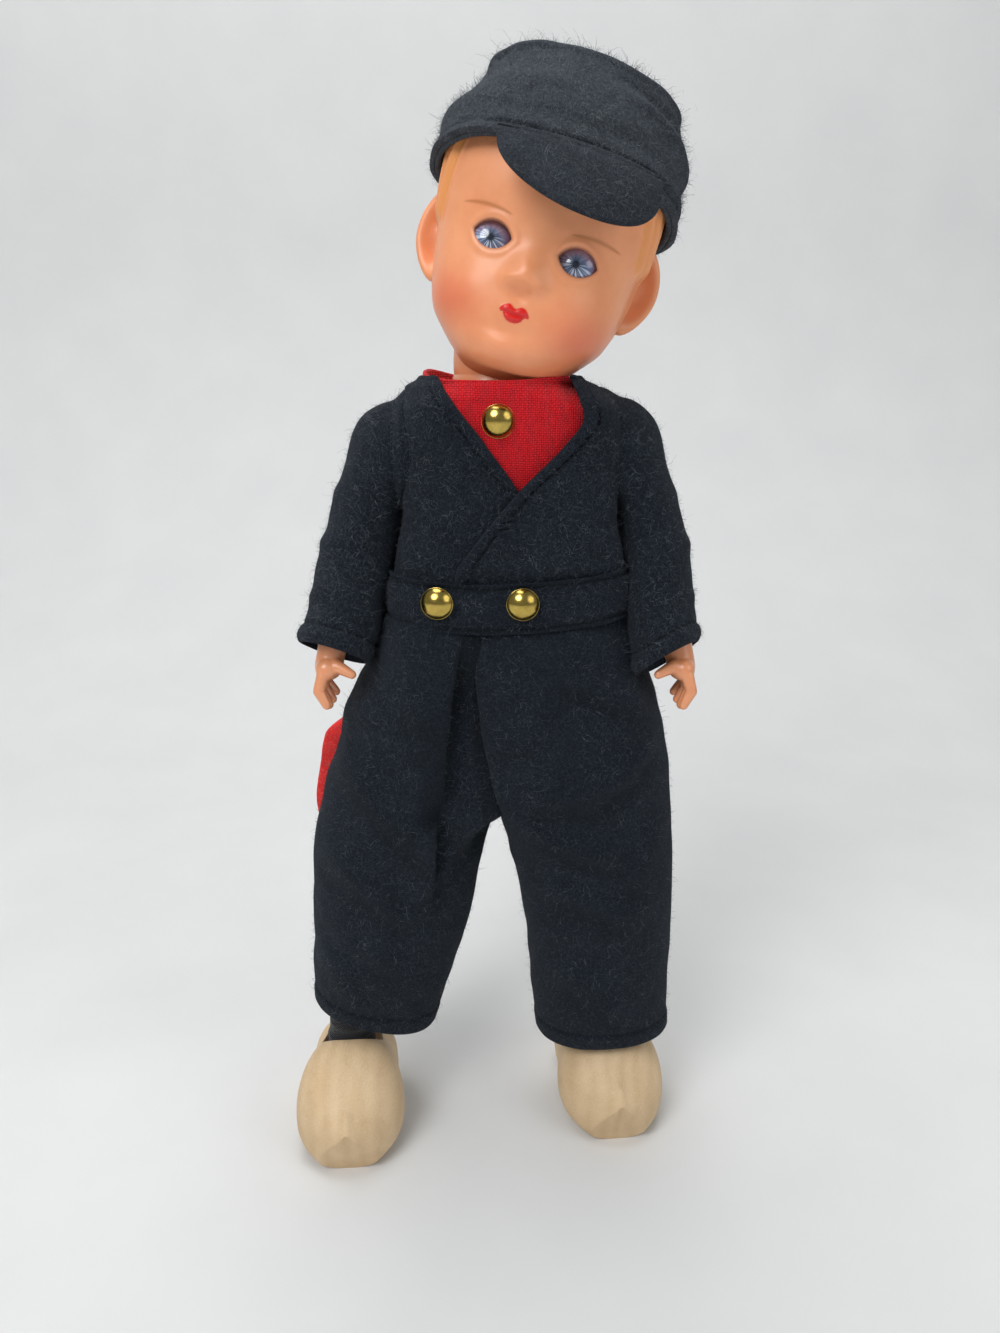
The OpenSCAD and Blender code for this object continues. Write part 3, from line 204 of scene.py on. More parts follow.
def ridge(u, v, start, end, width, rise):
    """A soft fold from one place to another on a surface."""
    (a, b), (c, d) = start, end
    l = math.hypot(c - a, d - b)
    along = ((u - a) * (c - a) + (v - b) * (d - b)) / (l * l)
    away = ((u - a) * (d - b) - (v - b) * (c - a)) / l
    ends = ease((along + 0.25) / 0.4) * ease((1.25 - along) / 0.4)
    return rise * ends * np.exp(-((away / width) ** 2))


# Meshes
def grid_faces(m, n, wrap_rows, wrap_columns):
    i = np.arange(m if wrap_rows else m - 1)[:, None]
    j = np.arange(n if wrap_columns else n - 1)[None, :]
    k, l = (i + 1) % m, (j + 1) % n
    return stacked(i * n + j, i * n + l, k * n + l, k * n + j).reshape(-1, 4)


def rounded(o, i, away):
    """Lines of a rounded edge from an outer to an inner line."""
    middle, half = (o + i) / 2, (o - i) / 2
    out = unit(away) * np.linalg.norm(half, axis=-1, keepdims=True)
    return [middle + half * math.cos(a) + out * math.sin(a) for a in (0.8, math.pi / 2, 2.34)]


def shell(outer, inner, wrap=True, closed=False):
    """Points and faces of a thick skin between two grids, with rounded edges."""
    if not wrap:
        sides = []
        for edge, near in ((0, 1), (-1, -2)):
            o, i = outer[:, edge], inner[:, edge]
            middle, half = (o + i) / 2, (o - i) / 2
            out = unit(o - outer[:, near]) * np.linalg.norm(half, axis=-1, keepdims=True)
            turns = [(math.cos(a), math.sin(a)) for a in (0.5, 1.05, math.pi / 2)]
            sides.append([(middle + half * c + out * s, middle - half * c + out * s) for c, s in turns])
        first, last = sides
        outer, inner = (
            np.stack([p[k] for p in first[::-1]] + list(g.swapaxes(0, 1)) + [p[k] for p in last], 1)
            for k, g in enumerate((outer, inner))
        )
    start = rounded(inner[0], outer[0], outer[0] - outer[1])
    if closed:
        tops = [np.broadcast_to(g[-1].mean(axis=0), g[-1].shape) for g in (inner, outer)]
        rows = [tops[0], *inner[::-1], *start, *outer, tops[1]]
    else:
        end = rounded(outer[-1], inner[-1], outer[-1] - outer[-2])
        rows = [*outer, *end, *inner[::-1], *start]
    grid = np.stack(rows)
    return grid.reshape(-1, 3), grid_faces(*grid.shape[:2], not closed, wrap)


def on_shell(v, wrap=True):
    """Point values of a shell, from values on its outer grid."""
    if not wrap:
        v = np.pad(v, ((0, 0), (3, 3)), mode="edge")
    return np.concatenate([v, np.repeat(v[-1:], 3, 0), 0 * v, np.repeat(v[:1], 3, 0)]).reshape(-1)


def solid(rings):
    """Points and faces of a closed form over rings."""
    ends = [np.broadcast_to(g.mean(axis=0), g.shape) for g in (rings[0], rings[-1])]
    grid = np.stack([ends[0], *rings, ends[1]])
    return grid.reshape(-1, 3), grid_faces(*grid.shape[:2], False, True)


def joined(parts):
    """One list of points and faces from several."""
    points, faces, count = [], [], 0
    for p, f in parts:
        points.append(p)
        faces.append(f + count)
        count += len(p)
    return np.concatenate(points), np.concatenate(faces)


def hold(obj, carried):
    """Rides on a body given by its name; otherwise stays where it is drawn."""
    if isinstance(carried, str):
        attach(obj, carried)
    else:
        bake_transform(obj)


def at(p):
    return (np.asarray(p, float) + STAND) / 1000


def add(name, data):
    obj = bpy.data.objects.new(name, data)
    bpy.context.scene.collection.objects.link(obj)
    return obj


def new_mesh(name, points, faces):
    mesh = bpy.data.meshes.new(name)
    mesh.from_pydata(np.asarray(points).tolist(), [], np.asarray(faces).tolist())
    return mesh


def weld(mesh, drop=None):
    """Joins points that meet and turns the faces outwards. drop picks faces to leave out."""
    bm = bmesh.new()
    bm.from_mesh(mesh)
    bmesh.ops.remove_doubles(bm, verts=bm.verts, dist=1e-6)
    bmesh.ops.recalc_face_normals(bm, faces=bm.faces)
    if drop is not None:
        gone = [f for f in bm.faces if drop(1000 * np.array(f.calc_center_median()) - STAND)]
        bmesh.ops.delete(bm, geom=gone, context="FACES")
    bm.to_mesh(mesh)
    bm.free()


def smooth(mesh):
    mesh.polygons.foreach_set("use_smooth", [True] * len(mesh.polygons))


def piece(name, form, look, slot, carried, stands_for=(), paint=None, drop=None):
    """A mesh piece in millimetres from the doll's middle line. paint gives point values."""
    points, faces = form
    mesh = new_mesh(name, at(points), faces)
    for key, values in (paint or {}).items():
        kind, part = ("FLOAT", "value") if values.ndim == 1 else ("FLOAT_VECTOR", "vector")
        layer = mesh.attributes.new(key, kind, "POINT")
        layer.data.foreach_set(part, values.astype(np.float32).ravel())
    weld(mesh, drop)
    smooth(mesh)
    mesh.materials.append(look)
    obj = add(name, mesh)
    hold(obj, carried)
    if stands_for:
        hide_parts(*stands_for)
    return obj


def felted(name, outer, inner, carried, fibres, look=None, wrap=True, closed=False, **more):
    """A felt piece for the node of its name, with loose fibres given by count, length and seed."""
    form = shell(outer, inner, wrap, closed)
    piece(name + "_felt", form, look or FELT_DARK, "felt", carried, (name,), **more)
    nap(name + "_nap", outer, inner, *fibres, carried)


# Loose fibres: half-widths at root and tip in millimetres, share and reach of the long ones
FIBRE_HALF_WIDTHS = 0.036, 0.016
LONG_SHARE, LONG_REACH = 0.1, 1.9


def nap(name, outer, inner, count, length, seed, carried):
    """Loose fibres that stand on a felt surface, as thin ribbons."""
    rng = np.random.default_rng(seed)
    across, down = outer[:-1, 1:] - outer[:-1, :-1], outer[1:, :-1] - outer[:-1, :-1]
    normal = np.cross(across, down)
    area = np.linalg.norm(normal, axis=-1)
    way = np.sign((normal * (outer - inner)[:-1, :-1]).sum(-1))
    pick = rng.choice(area.size, count, p=(area / area.sum()).ravel())
    u, v = rng.random((2, count, 1))
    flat = lambda g: g.reshape(-1, 3)[pick]
    base = flat(outer[:-1, :-1]) + u * flat(across) + v * flat(down)
    up = unit(flat(normal)) * way.ravel()[pick][:, None]
    side = unit(np.cross(up, rng.normal(size=(count, 3))))
    reach = length * rng.uniform(0.35, 1.0, (count, 1)) ** 2
    reach = reach * np.where(rng.random((count, 1)) < LONG_SHARE, LONG_REACH, 1)
    rise = rng.uniform(0.15, 0.8, (count, 1))
    bend = rng.uniform(-1.3, 1.3, (count, 1))
    third = np.cross(up, side)
    lines = []
    for s in (0.0, 0.3, 0.65, 1.0):
        middle = base - 0.1 * up + reach * (up * rise * math.sin(2.0 * s) + side * s + third * bend * s * s)
        for edge in (-1, 1):
            lines.append(middle + edge * third * mix(*FIBRE_HALF_WIDTHS, s))
    points = np.stack(lines, 1)
    quads = np.array([[0, 1, 3, 2], [2, 3, 5, 4], [4, 5, 7, 6]])
    faces = (np.arange(count)[:, None, None] * 8 + quads).reshape(-1, 4)
    return piece(name, (points.reshape(-1, 3), faces), FIBRE, "felt", carried)


# Materials
def plug(tree, socket, value):
    """Links a socket to another one, or sets its value."""
    if isinstance(value, bpy.types.NodeSocket):
        tree.links.new(value, socket)
    else:
        socket.default_value = (*value, 1) if socket.type == "RGBA" else value


def node(tree, kind, inputs=None, **settings):
    n = tree.nodes.new("ShaderNode" + kind)
    for key, value in settings.items():
        setattr(n, key, value)
    for key, value in (inputs or {}).items():
        plug(tree, n.inputs[key], value)
    return n


def surface(name, **sockets):
    """A material with its shader's constant values set, and its tree."""
    look = bpy.data.materials.new(name)
    look.use_nodes = True
    shader = look.node_tree.nodes["Principled BSDF"]
    for key, value in sockets.items():
        shader.inputs[key.replace("_", " ")].default_value = value
    return look, look.node_tree, shader


def place(tree, scale=(1, 1, 1)):
    """Object coordinates in millimetres, stretched by a scale."""
    spot = node(tree, "TexCoord").outputs["Object"]
    return node(tree, "Mapping", {"Vector": spot, "Scale": [1000 * k for k in scale]}).outputs["Vector"]


def noise(tree, spot, scale, detail=4.0, rough=0.6, warp=0.0):
    values = {"Vector": spot, "Scale": scale, "Detail": detail, "Roughness": rough, "Distortion": warp}
    return node(tree, "TexNoise", values).outputs["Fac"]


def ramp(tree, value, stops):
    """A colour ramp through (place, colour) stops."""
    n = node(tree, "ValToRGB", {"Fac": value})
    band = n.color_ramp
    while len(band.elements) < len(stops):
        band.elements.new(0.5)
    for e, (spot, colour) in zip(band.elements, stops):
        e.position = spot
        e.color = (*colour, 1) if hasattr(colour, "__len__") else (colour, colour, colour, 1)
    return n.outputs["Color"]


def blend_colour(tree, share, a, b, way="MIX"):
    n = node(tree, "Mix", data_type="RGBA", blend_type=way)
    for key, kind, value in (("Factor", "VALUE", share), ("A", "RGBA", a), ("B", "RGBA", b)):
        plug(tree, [k for k in n.inputs if k.name == key and k.type == kind][0], value)
    return [k for k in n.outputs if k.type == "RGBA"][0]


def maths(tree, way, *values):
    n = node(tree, "Math", operation=way)
    for socket, value in zip(n.inputs, values):
        plug(tree, socket, value)
    return n.outputs[0]


def times(tree, a, b):
    return maths(tree, "MULTIPLY", a, b)


def plus(tree, a, b):
    return maths(tree, "ADD", a, b)


def feed(shader, **values):
    """Joins node outputs to a shader's sockets."""
    for key, value in values.items():
        shader.id_data.links.new(value, shader.inputs[key.replace("_", " ")])


def wander(tree, spot, scale, reach):
    """Coordinates shifted by smooth noise, so that lines run unevenly."""
    drift = node(tree, "TexNoise", {"Vector": spot, "Scale": scale, "Detail": 2.0}).outputs["Color"]
    shift = node(tree, "VectorMath", {0: drift, "Scale": reach}, operation="SCALE").outputs[0]
    return node(tree, "VectorMath", {0: spot, 1: shift}, operation="ADD").outputs[0]


def relief(tree, shader, height, depth, strength=1.0):
    bump = node(tree, "Bump", {"Height": height, "Distance": depth / 1000, "Strength": strength})
    feed(shader, Normal=bump.outputs["Normal"])


def painted(tree, name):
    return node(tree, "Attribute", attribute_name=name).outputs["Fac"]


def felt(name, dark, pale, thread):
    """Brushed felt: a dark ground, a paler pile, crossing fibres and worn patches."""
    look, tree, shader = surface(
        name, Roughness=0.95, Sheen_Weight=0.05, Sheen_Roughness=0.6, Sheen_Tint=(0.75, 0.85, 1, 1),
        Specular_IOR_Level=0.15,
    )
    spot = place(tree)
    patches = noise(tree, spot, 0.16, 3, 0.6)
    pile = noise(tree, spot, 1.5, 8, 0.75, 1.2)
    bent = wander(tree, spot, 0.9, 2.6)
    web = node(tree, "TexVoronoi", {"Vector": bent, "Scale": 0.8}, feature="DISTANCE_TO_EDGE").outputs["Distance"]
    hairs = ramp(tree, web, [(0.0, 1.0), (0.035, 0.25), (0.08, 0.0)])
    ground = ramp(tree, pile, [(0.33, dark), (0.52, mix(np.array(dark), np.array(pale), 0.4)), (0.72, pale)])
    worn = ramp(tree, patches, [(0.3, 0.8), (0.75, 1.22)])
    ground = blend_colour(tree, 1.0, ground, worn, "MULTIPLY")
    share = times(tree, hairs, times(tree, pile, 0.75))
    ground = blend_colour(tree, share, ground, thread)
    # The seam value darkens the felt: at stitch lines and seams, and as painted shade in the trouser pleat and under
    # the trouser folds
    ground = blend_colour(tree, times(tree, painted(tree, "seam"), 0.8), ground, np.array(dark) * 0.4)
    feed(shader, Base_Color=ground)
    relief(tree, shader, plus(tree, pile, times(tree, hairs, 0.3)), 0.45, 0.9)
    return look


def moulded(name, base, rough, coat, colours=()):
    """Satin plastic with painted places given by point values."""
    look, tree, shader = surface(
        name, Coat_Weight=coat, Coat_Roughness=0.3, Subsurface_Weight=0.12,
        Subsurface_Radius=(1.0, 0.35, 0.15), Subsurface_Scale=0.0025,
    )
    spot = place(tree)
    mottle = noise(tree, spot, 0.12, 3, 0.55)
    base = np.array(base)
    low, high = base * (0.95, 0.9, 0.85), np.minimum(1, base * (1.04, 1.08, 1.12))
    colour = ramp(tree, mottle, [(0.3, low), (0.7, high)])
    for key, tint in colours:
        colour = blend_colour(tree, painted(tree, key), colour, tint)
    feed(shader, Base_Color=colour)
    fine = noise(tree, spot, 1.1, 4, 0.6)
    dull = plus(tree, times(tree, fine, 0.14), rough - 0.07)
    for key, _ in colours:
        if key == "lips":
            dull = maths(tree, "SUBTRACT", dull, times(tree, painted(tree, key), 0.2))
    feed(shader, Roughness=dull)
    relief(tree, shader, fine, 0.03, 0.5)
    return look


# Millimetres from thread to thread
THREAD_GAP = 0.53


def cotton():
    """Plain weave of red threads."""
    look, tree, shader = surface("red_cotton", Roughness=0.85, Sheen_Weight=0.1, Specular_IOR_Level=0.2)
    spot = place(tree)
    axes = node(tree, "SeparateXYZ", {"Vector": wander(tree, spot, 0.25, 0.8)})
    beat = math.pi / THREAD_GAP
    warp = maths(tree, "SINE", times(tree, axes.outputs["X"], beat))
    weft = maths(tree, "SINE", times(tree, axes.outputs["Z"], beat))
    over_under = times(tree, warp, weft)
    lines = times(tree, maths(tree, "ABSOLUTE", warp), maths(tree, "ABSOLUTE", weft))
    height = plus(tree, lines, times(tree, over_under, 0.35))
    slub = noise(tree, place(tree, (2.4, 2.4, 0.5)), 0.7, 3, 0.6)
    tone = plus(tree, times(tree, height, 0.55), times(tree, slub, 0.5))
    colour = ramp(tree, tone, [
        (0.12, (0.2, 0.002, 0.006)), (0.42, (0.64, 0.006, 0.015)), (0.85, (0.84, 0.024, 0.03))])
    feed(shader, Base_Color=colour)
    relief(tree, shader, height, 0.2, 1.0)
    return look


def wood():
    """Raw pale wood, grain along the foot."""
    look, tree, shader = surface("clog_wood", Specular_IOR_Level=0.35)
    long_spot = place(tree, (1, 0.12, 1))
    rings = node(tree, "TexWave", {"Vector": long_spot, "Scale": 0.07, "Distortion": 7.0, "Detail": 3.0,
                                   "Detail Scale": 0.6, "Detail Roughness": 0.6}, bands_direction="X").outputs["Fac"]
    pores = noise(tree, place(tree, (3, 0.22, 3)), 1.3, 5, 0.7)
    stain = noise(tree, place(tree), 0.09, 4, 0.6, 0.6)
    tone = plus(tree, times(tree, rings, 0.1), times(tree, pores, 0.75))
    grain = ramp(tree, tone, [
        (0.15, (0.55, 0.39, 0.225)), (0.45, (0.70, 0.53, 0.335)), (0.75, (0.79, 0.63, 0.43))])
    marks = ramp(tree, stain, [(0.35, (1.02, 1.0, 0.98)), (0.72, (0.9, 0.84, 0.76))])
    feed(shader, Base_Color=blend_colour(tree, 1.0, grain, marks, "MULTIPLY"))
    dull = plus(tree, 0.52, times(tree, pores, 0.2))
    feed(shader, Roughness=dull)
    relief(tree, shader, pores, 0.05, 0.6)
    return look


def metal(name, colour, rough, worn):
    look, tree, shader = surface(name, Metallic=1.0)
    spot = place(tree)
    rub = noise(tree, spot, 0.8, 5, 0.65)
    colour = np.array(colour)
    feed(shader, Base_Color=ramp(tree, rub, [(0.35, colour), (0.8, colour * worn)]))
    dull = plus(tree, rough, times(tree, rub, 0.16))
    feed(shader, Roughness=dull)
    relief(tree, shader, noise(tree, spot, 2.5, 3), 0.02, 0.4)
    return look


def plain(name, dark, pale, size, rough, stretch=(1, 1, 1), depth=0.1):
    """A two-tone grained surface."""
    look, tree, shader = surface(name, Roughness=rough, Specular_IOR_Level=0.3)
    grain = noise(tree, place(tree, stretch), 1 / size, 6, 0.65)
    feed(shader, Base_Color=ramp(tree, grain, [(0.3, dark), (0.7, pale)]))
    relief(tree, shader, grain, depth, 0.7)
    return look


def knit():
    look, tree, shader = surface("stocking", Roughness=0.9, Sheen_Weight=0.2, Specular_IOR_Level=0.2)
    axes = node(tree, "SeparateXYZ", {"Vector": place(tree)})
    cross = plus(tree, axes.outputs["X"], times(tree, axes.outputs["Y"], 0.7))
    ribs = maths(tree, "SINE", times(tree, cross, 7.0))
    rows = maths(tree, "SINE", times(tree, axes.outputs["Z"], 9.0))
    loops = times(tree, ribs, rows)
    colour = ramp(tree, plus(tree, times(tree, loops, 0.4), 0.5), [
        (0.1, (0.006, 0.006, 0.008)), (0.9, (0.03, 0.031, 0.035))])
    feed(shader, Base_Color=colour)
    relief(tree, shader, loops, 0.15, 0.8)
    return look


def iris():
    """Sleep eye: radial silver streaks round a dark pupil, a lid above. The iris value is (cosine, sine, angle). The
    upper iris carries painted shade from the lid.
    """
    look, tree, shader = surface(
        "iris", Roughness=0.12, Coat_Weight=0.8, Coat_Roughness=0.03, Specular_IOR_Level=0.5
    )
    spot = node(tree, "Attribute", attribute_name="iris").outputs["Vector"]
    axes = node(tree, "SeparateXYZ", {"Vector": spot})
    angle = axes.outputs["Z"]
    stretched = node(tree, "Mapping", {"Vector": spot, "Scale": (5.2, 5.2, 0.012)}).outputs["Vector"]
    rays = noise(tree, stretched, 1.0, 1.0, 0.4)
    streak = ramp(tree, rays, [(0.42, 0.0), (0.56, 1.0)])
    ring = ramp(tree, maths(tree, "DIVIDE", angle, 60.0), [
        (0.0, (0.012, 0.016, 0.03)), (0.1, (0.02, 0.028, 0.05)), (0.18, (0.07, 0.10, 0.17)),
        (0.42, (0.15, 0.21, 0.38)), (0.6, (0.17, 0.16, 0.29)), (0.7, (0.22, 0.12, 0.18)), (1.0, (0.08, 0.05, 0.07))])
    shine = ramp(tree, maths(tree, "DIVIDE", angle, 60.0), [
        (0.1, 0.0), (0.2, 0.75), (0.5, 1.0), (0.62, 0.6), (0.72, 0.05), (1.0, 0.0)])
    # Painted shade from the lid: the streaks fade upwards, and the upper iris is tinted darker mauve
    low = plus(tree, 0.66, times(tree, axes.outputs["Y"], -0.5))
    share = times(tree, times(tree, streak, shine), low)
    colour = blend_colour(tree, share, ring, (0.70, 0.80, 0.95))
    lid_shade = times(tree, maths(tree, "MAXIMUM", axes.outputs["Y"], 0.0), painted(tree, "edge"))
    colour = blend_colour(tree, times(tree, lid_shade, 0.9), colour, (0.46, 0.27, 0.34))
    colour = blend_colour(tree, painted(tree, "lid"), colour, (0.66, 0.3, 0.17))
    colour = blend_colour(tree, painted(tree, "lash"), colour, (0.05, 0.02, 0.015))
    feed(shader, Base_Color=colour)
    return look


FELT_DARK = felt("felt", (0.0022, 0.0038, 0.0066), (0.0135, 0.021, 0.033), (0.072, 0.09, 0.115))
# The cap's felt is paler than the clothes' felt, partly as painted light for the light from above on the crown
FELT_CAP = felt("felt_cap", (0.018, 0.0235, 0.031), (0.088, 0.102, 0.122), (0.28, 0.29, 0.31))
# The peak's felt is the cap's felt made darker, as painted shade
FELT_PEAK_SHADED = felt("felt_peak_shaded", (0.0085, 0.0115, 0.016), (0.042, 0.05, 0.063), (0.15, 0.16, 0.175))
FELT_RED = felt("red_felt", (0.8, 0.02, 0.022), (1.0, 0.06, 0.05), (1.0, 0.4, 0.35))
FIBRE = plain("fibre", (0.01, 0.014, 0.02), (0.17, 0.19, 0.215), 3.0, 0.9)
SKIN = moulded("skin", (0.80, 0.33, 0.16), 0.34, 0.55)
# In the face paint, rim is the painted lid line with painted shade on the inner walls of the eye openings
FACE = moulded("face", (0.93, 0.375, 0.175), 0.42, 0.2, [
    ("shade", (0.62, 0.20, 0.08)), ("blush", (0.76, 0.12, 0.055)), ("hair", (0.88, 0.36, 0.11)),
    ("brow", (0.52, 0.17, 0.045)), ("rim", (0.17, 0.06, 0.05)), ("lips", (0.74, 0.018, 0.014))])
IRIS = iris()
COTTON = cotton()
WOOD = wood()
BRASS = metal("brass", (0.58, 0.43, 0.11), 0.13, (0.66, 0.6, 0.5))
WIRE = metal("wire", (0.55, 0.55, 0.56), 0.3, (0.8, 0.8, 0.8))
LEAD = metal("lead", (0.22, 0.22, 0.24), 0.55, (0.7, 0.7, 0.72))
CARD = plain("card", (0.36, 0.25, 0.14), (0.52, 0.39, 0.25), 1.2, 0.85)
ELASTIC = plain("elastic", (0.5, 0.48, 0.42), (0.75, 0.72, 0.66), 0.5, 0.7, (1, 1, 0.4))
STOCKING = knit()

SLOT_LOOKS = {
    "skin": SKIN, "card": CARD, "wire": WIRE, "lead": LEAD, "elastic": ELASTIC, "felt": FELT_DARK,
    "red_cotton": COTTON, "red_felt": FELT_RED, "brass": BRASS, "stocking": STOCKING, "clog_wood": WOOD, "iris": IRIS,
}
for part in frame["record"]["subparts"]:
    obj = frame["nodes"][part["node"]]
    if not obj.material_slots:
        obj.data.materials.append(None)
    for s in obj.material_slots:
        s.material = SLOT_LOOKS[part["material_slot"]]

# Head: height share from chin to crown, width, face, back and chin dip shares
CHIN_Z, HEAD_H, HEAD_W, HEAD_F, HEAD_B = 6.6, 62.6, 50.8, 22.0, 26.0
HEAD_TURN = turn_z(-4.5) @ turn_y(15.5)
NECK_AT = np.array([NECK_X, 0, NECK[2]])
HEAD_SHARES = [
    (0.006, 0.49, 0.66, 0.46, 0.014), (0.025, 0.52, 0.78, 0.485, 0.027), (0.053, 0.59, 0.89, 0.53, 0.027),
    (0.09, 0.68, 0.965, 0.59, 0.019), (0.14, 0.785, 0.985, 0.665, 0.008), (0.20, 0.85, 0.99, 0.755, 0),
    (0.26, 0.89, 0.985, 0.83, 0), (0.33, 0.92, 0.97, 0.89, 0), (0.42, 0.945, 0.955, 0.94, 0),
    (0.51, 0.975, 0.975, 0.97, 0), (0.62, 1, 1, 1, 0), (0.73, 0.985, 0.985, 0.985, 0),
    (0.825, 0.90, 0.91, 0.90, 0), (0.90, 0.73, 0.75, 0.73, 0), (0.955, 0.51, 0.53, 0.51, 0),
    (0.985, 0.27, 0.28, 0.27, 0),
]
EYE_X, EYE_Y, EYE_Z, EYE_R = 9.8, -12.6, 31.8, 6.15
EYE_W, EYE_H = 8.9, 5.9
MOUTH_Z = 17.6
# Neck: sideways place, height and radius of its rings
NECK_COLUMN = [(-2.0, 200.5, 10.4), (-2.0, 204, 11.2), (-2.0, 207, 11.2), (-1.9, 211, 11.5), (-1.0, 216.5, 12.0)]


def head_at(p):
    return p @ HEAD_TURN.T + NECK_AT


def almond(x, z):
    """Distance outside a lens-shaped eye opening, below zero inside it, and the way out."""
    r = (EYE_W**2 + EYE_H**2) / (4 * EYE_H)
    dz = np.where(z >= 0, z + r - EYE_H / 2, z - r + EYE_H / 2)
    l = np.hypot(x, dz)
    return l - r, x / l, dz / l


def lips(x, z):
    """How far a place is inside the painted lips, and the mouth line's depth there."""
    top = 1.7 * (1 - np.abs(x / 3.5) ** 4) - 0.75 * hump(x, 0, 0.9)
    low = -2.15 * (1 - np.abs(x / 2.7) ** 3)
    line = -0.35 + 0.25 * (x / 3.4) ** 2
    inside = np.where(z > line - 0.2 * (np.abs(x) > 2.3), np.minimum(top - z, 3.4 - np.abs(x)), z - low)
    return inside, line


def face_at(x, z):
    """Places on the face, which is turned a little against the head and set up."""
    c, s = math.cos(math.radians(2.5)), math.sin(math.radians(2.5))
    return x * c - (z - 25.3) * s, 24 + x * s + (z - 25.3) * c


# Ears: share of the outline and height of each row, and the turn from the side in radians
EAR_ROWS = [
    (0.04, -1.5), (0.3, -1.75), (0.5, -1.5), (0.63, -0.7), (0.73, 0.3), (0.82, 0.75), (0.9, 0.7), (0.97, 0.25),
    (1.0, -0.5), (0.96, -1.3), (0.82, -2.2), (0.5, -3.2), (0.04, -3.6),
]
EAR_TURN = 0.42


def ear(way):
    """A moulded ear: a rolled edge round a hollow. Gives points, faces and shading."""
    t = np.linspace(0, 2 * math.pi, 72, endpoint=False)
    up, across = np.sin(t), np.cos(t)
    wide = 7.3 * (1 - np.where(up < 0, 0.28, 0.08) * up**2)
    out = np.array([way * math.cos(EAR_TURN), math.sin(EAR_TURN), 0])
    ahead = np.array([way * math.sin(EAR_TURN), -math.cos(EAR_TURN), 0])
    grid, shade = [], []
    for r, n in EAR_ROWS:
        inner = hump(r, 0.45, 0.3) * (n > -2)
        fold = 0.45 * inner * np.sin(3 * t + 1.2)
        flat = (across * wide * r)[:, None] * out + (up * 11.0 * r)[:, None] * np.array([0, 0.12, 1])
        grid.append((way * 23.4, 1.4, 32.4) + flat + (n + fold)[:, None] * ahead)
        shade.append(np.full(t.size, 0.45 * inner))
    points, faces = solid(np.stack(grid))
    return points, faces, np.concatenate([shade[0], *shade, shade[-1] * 0])


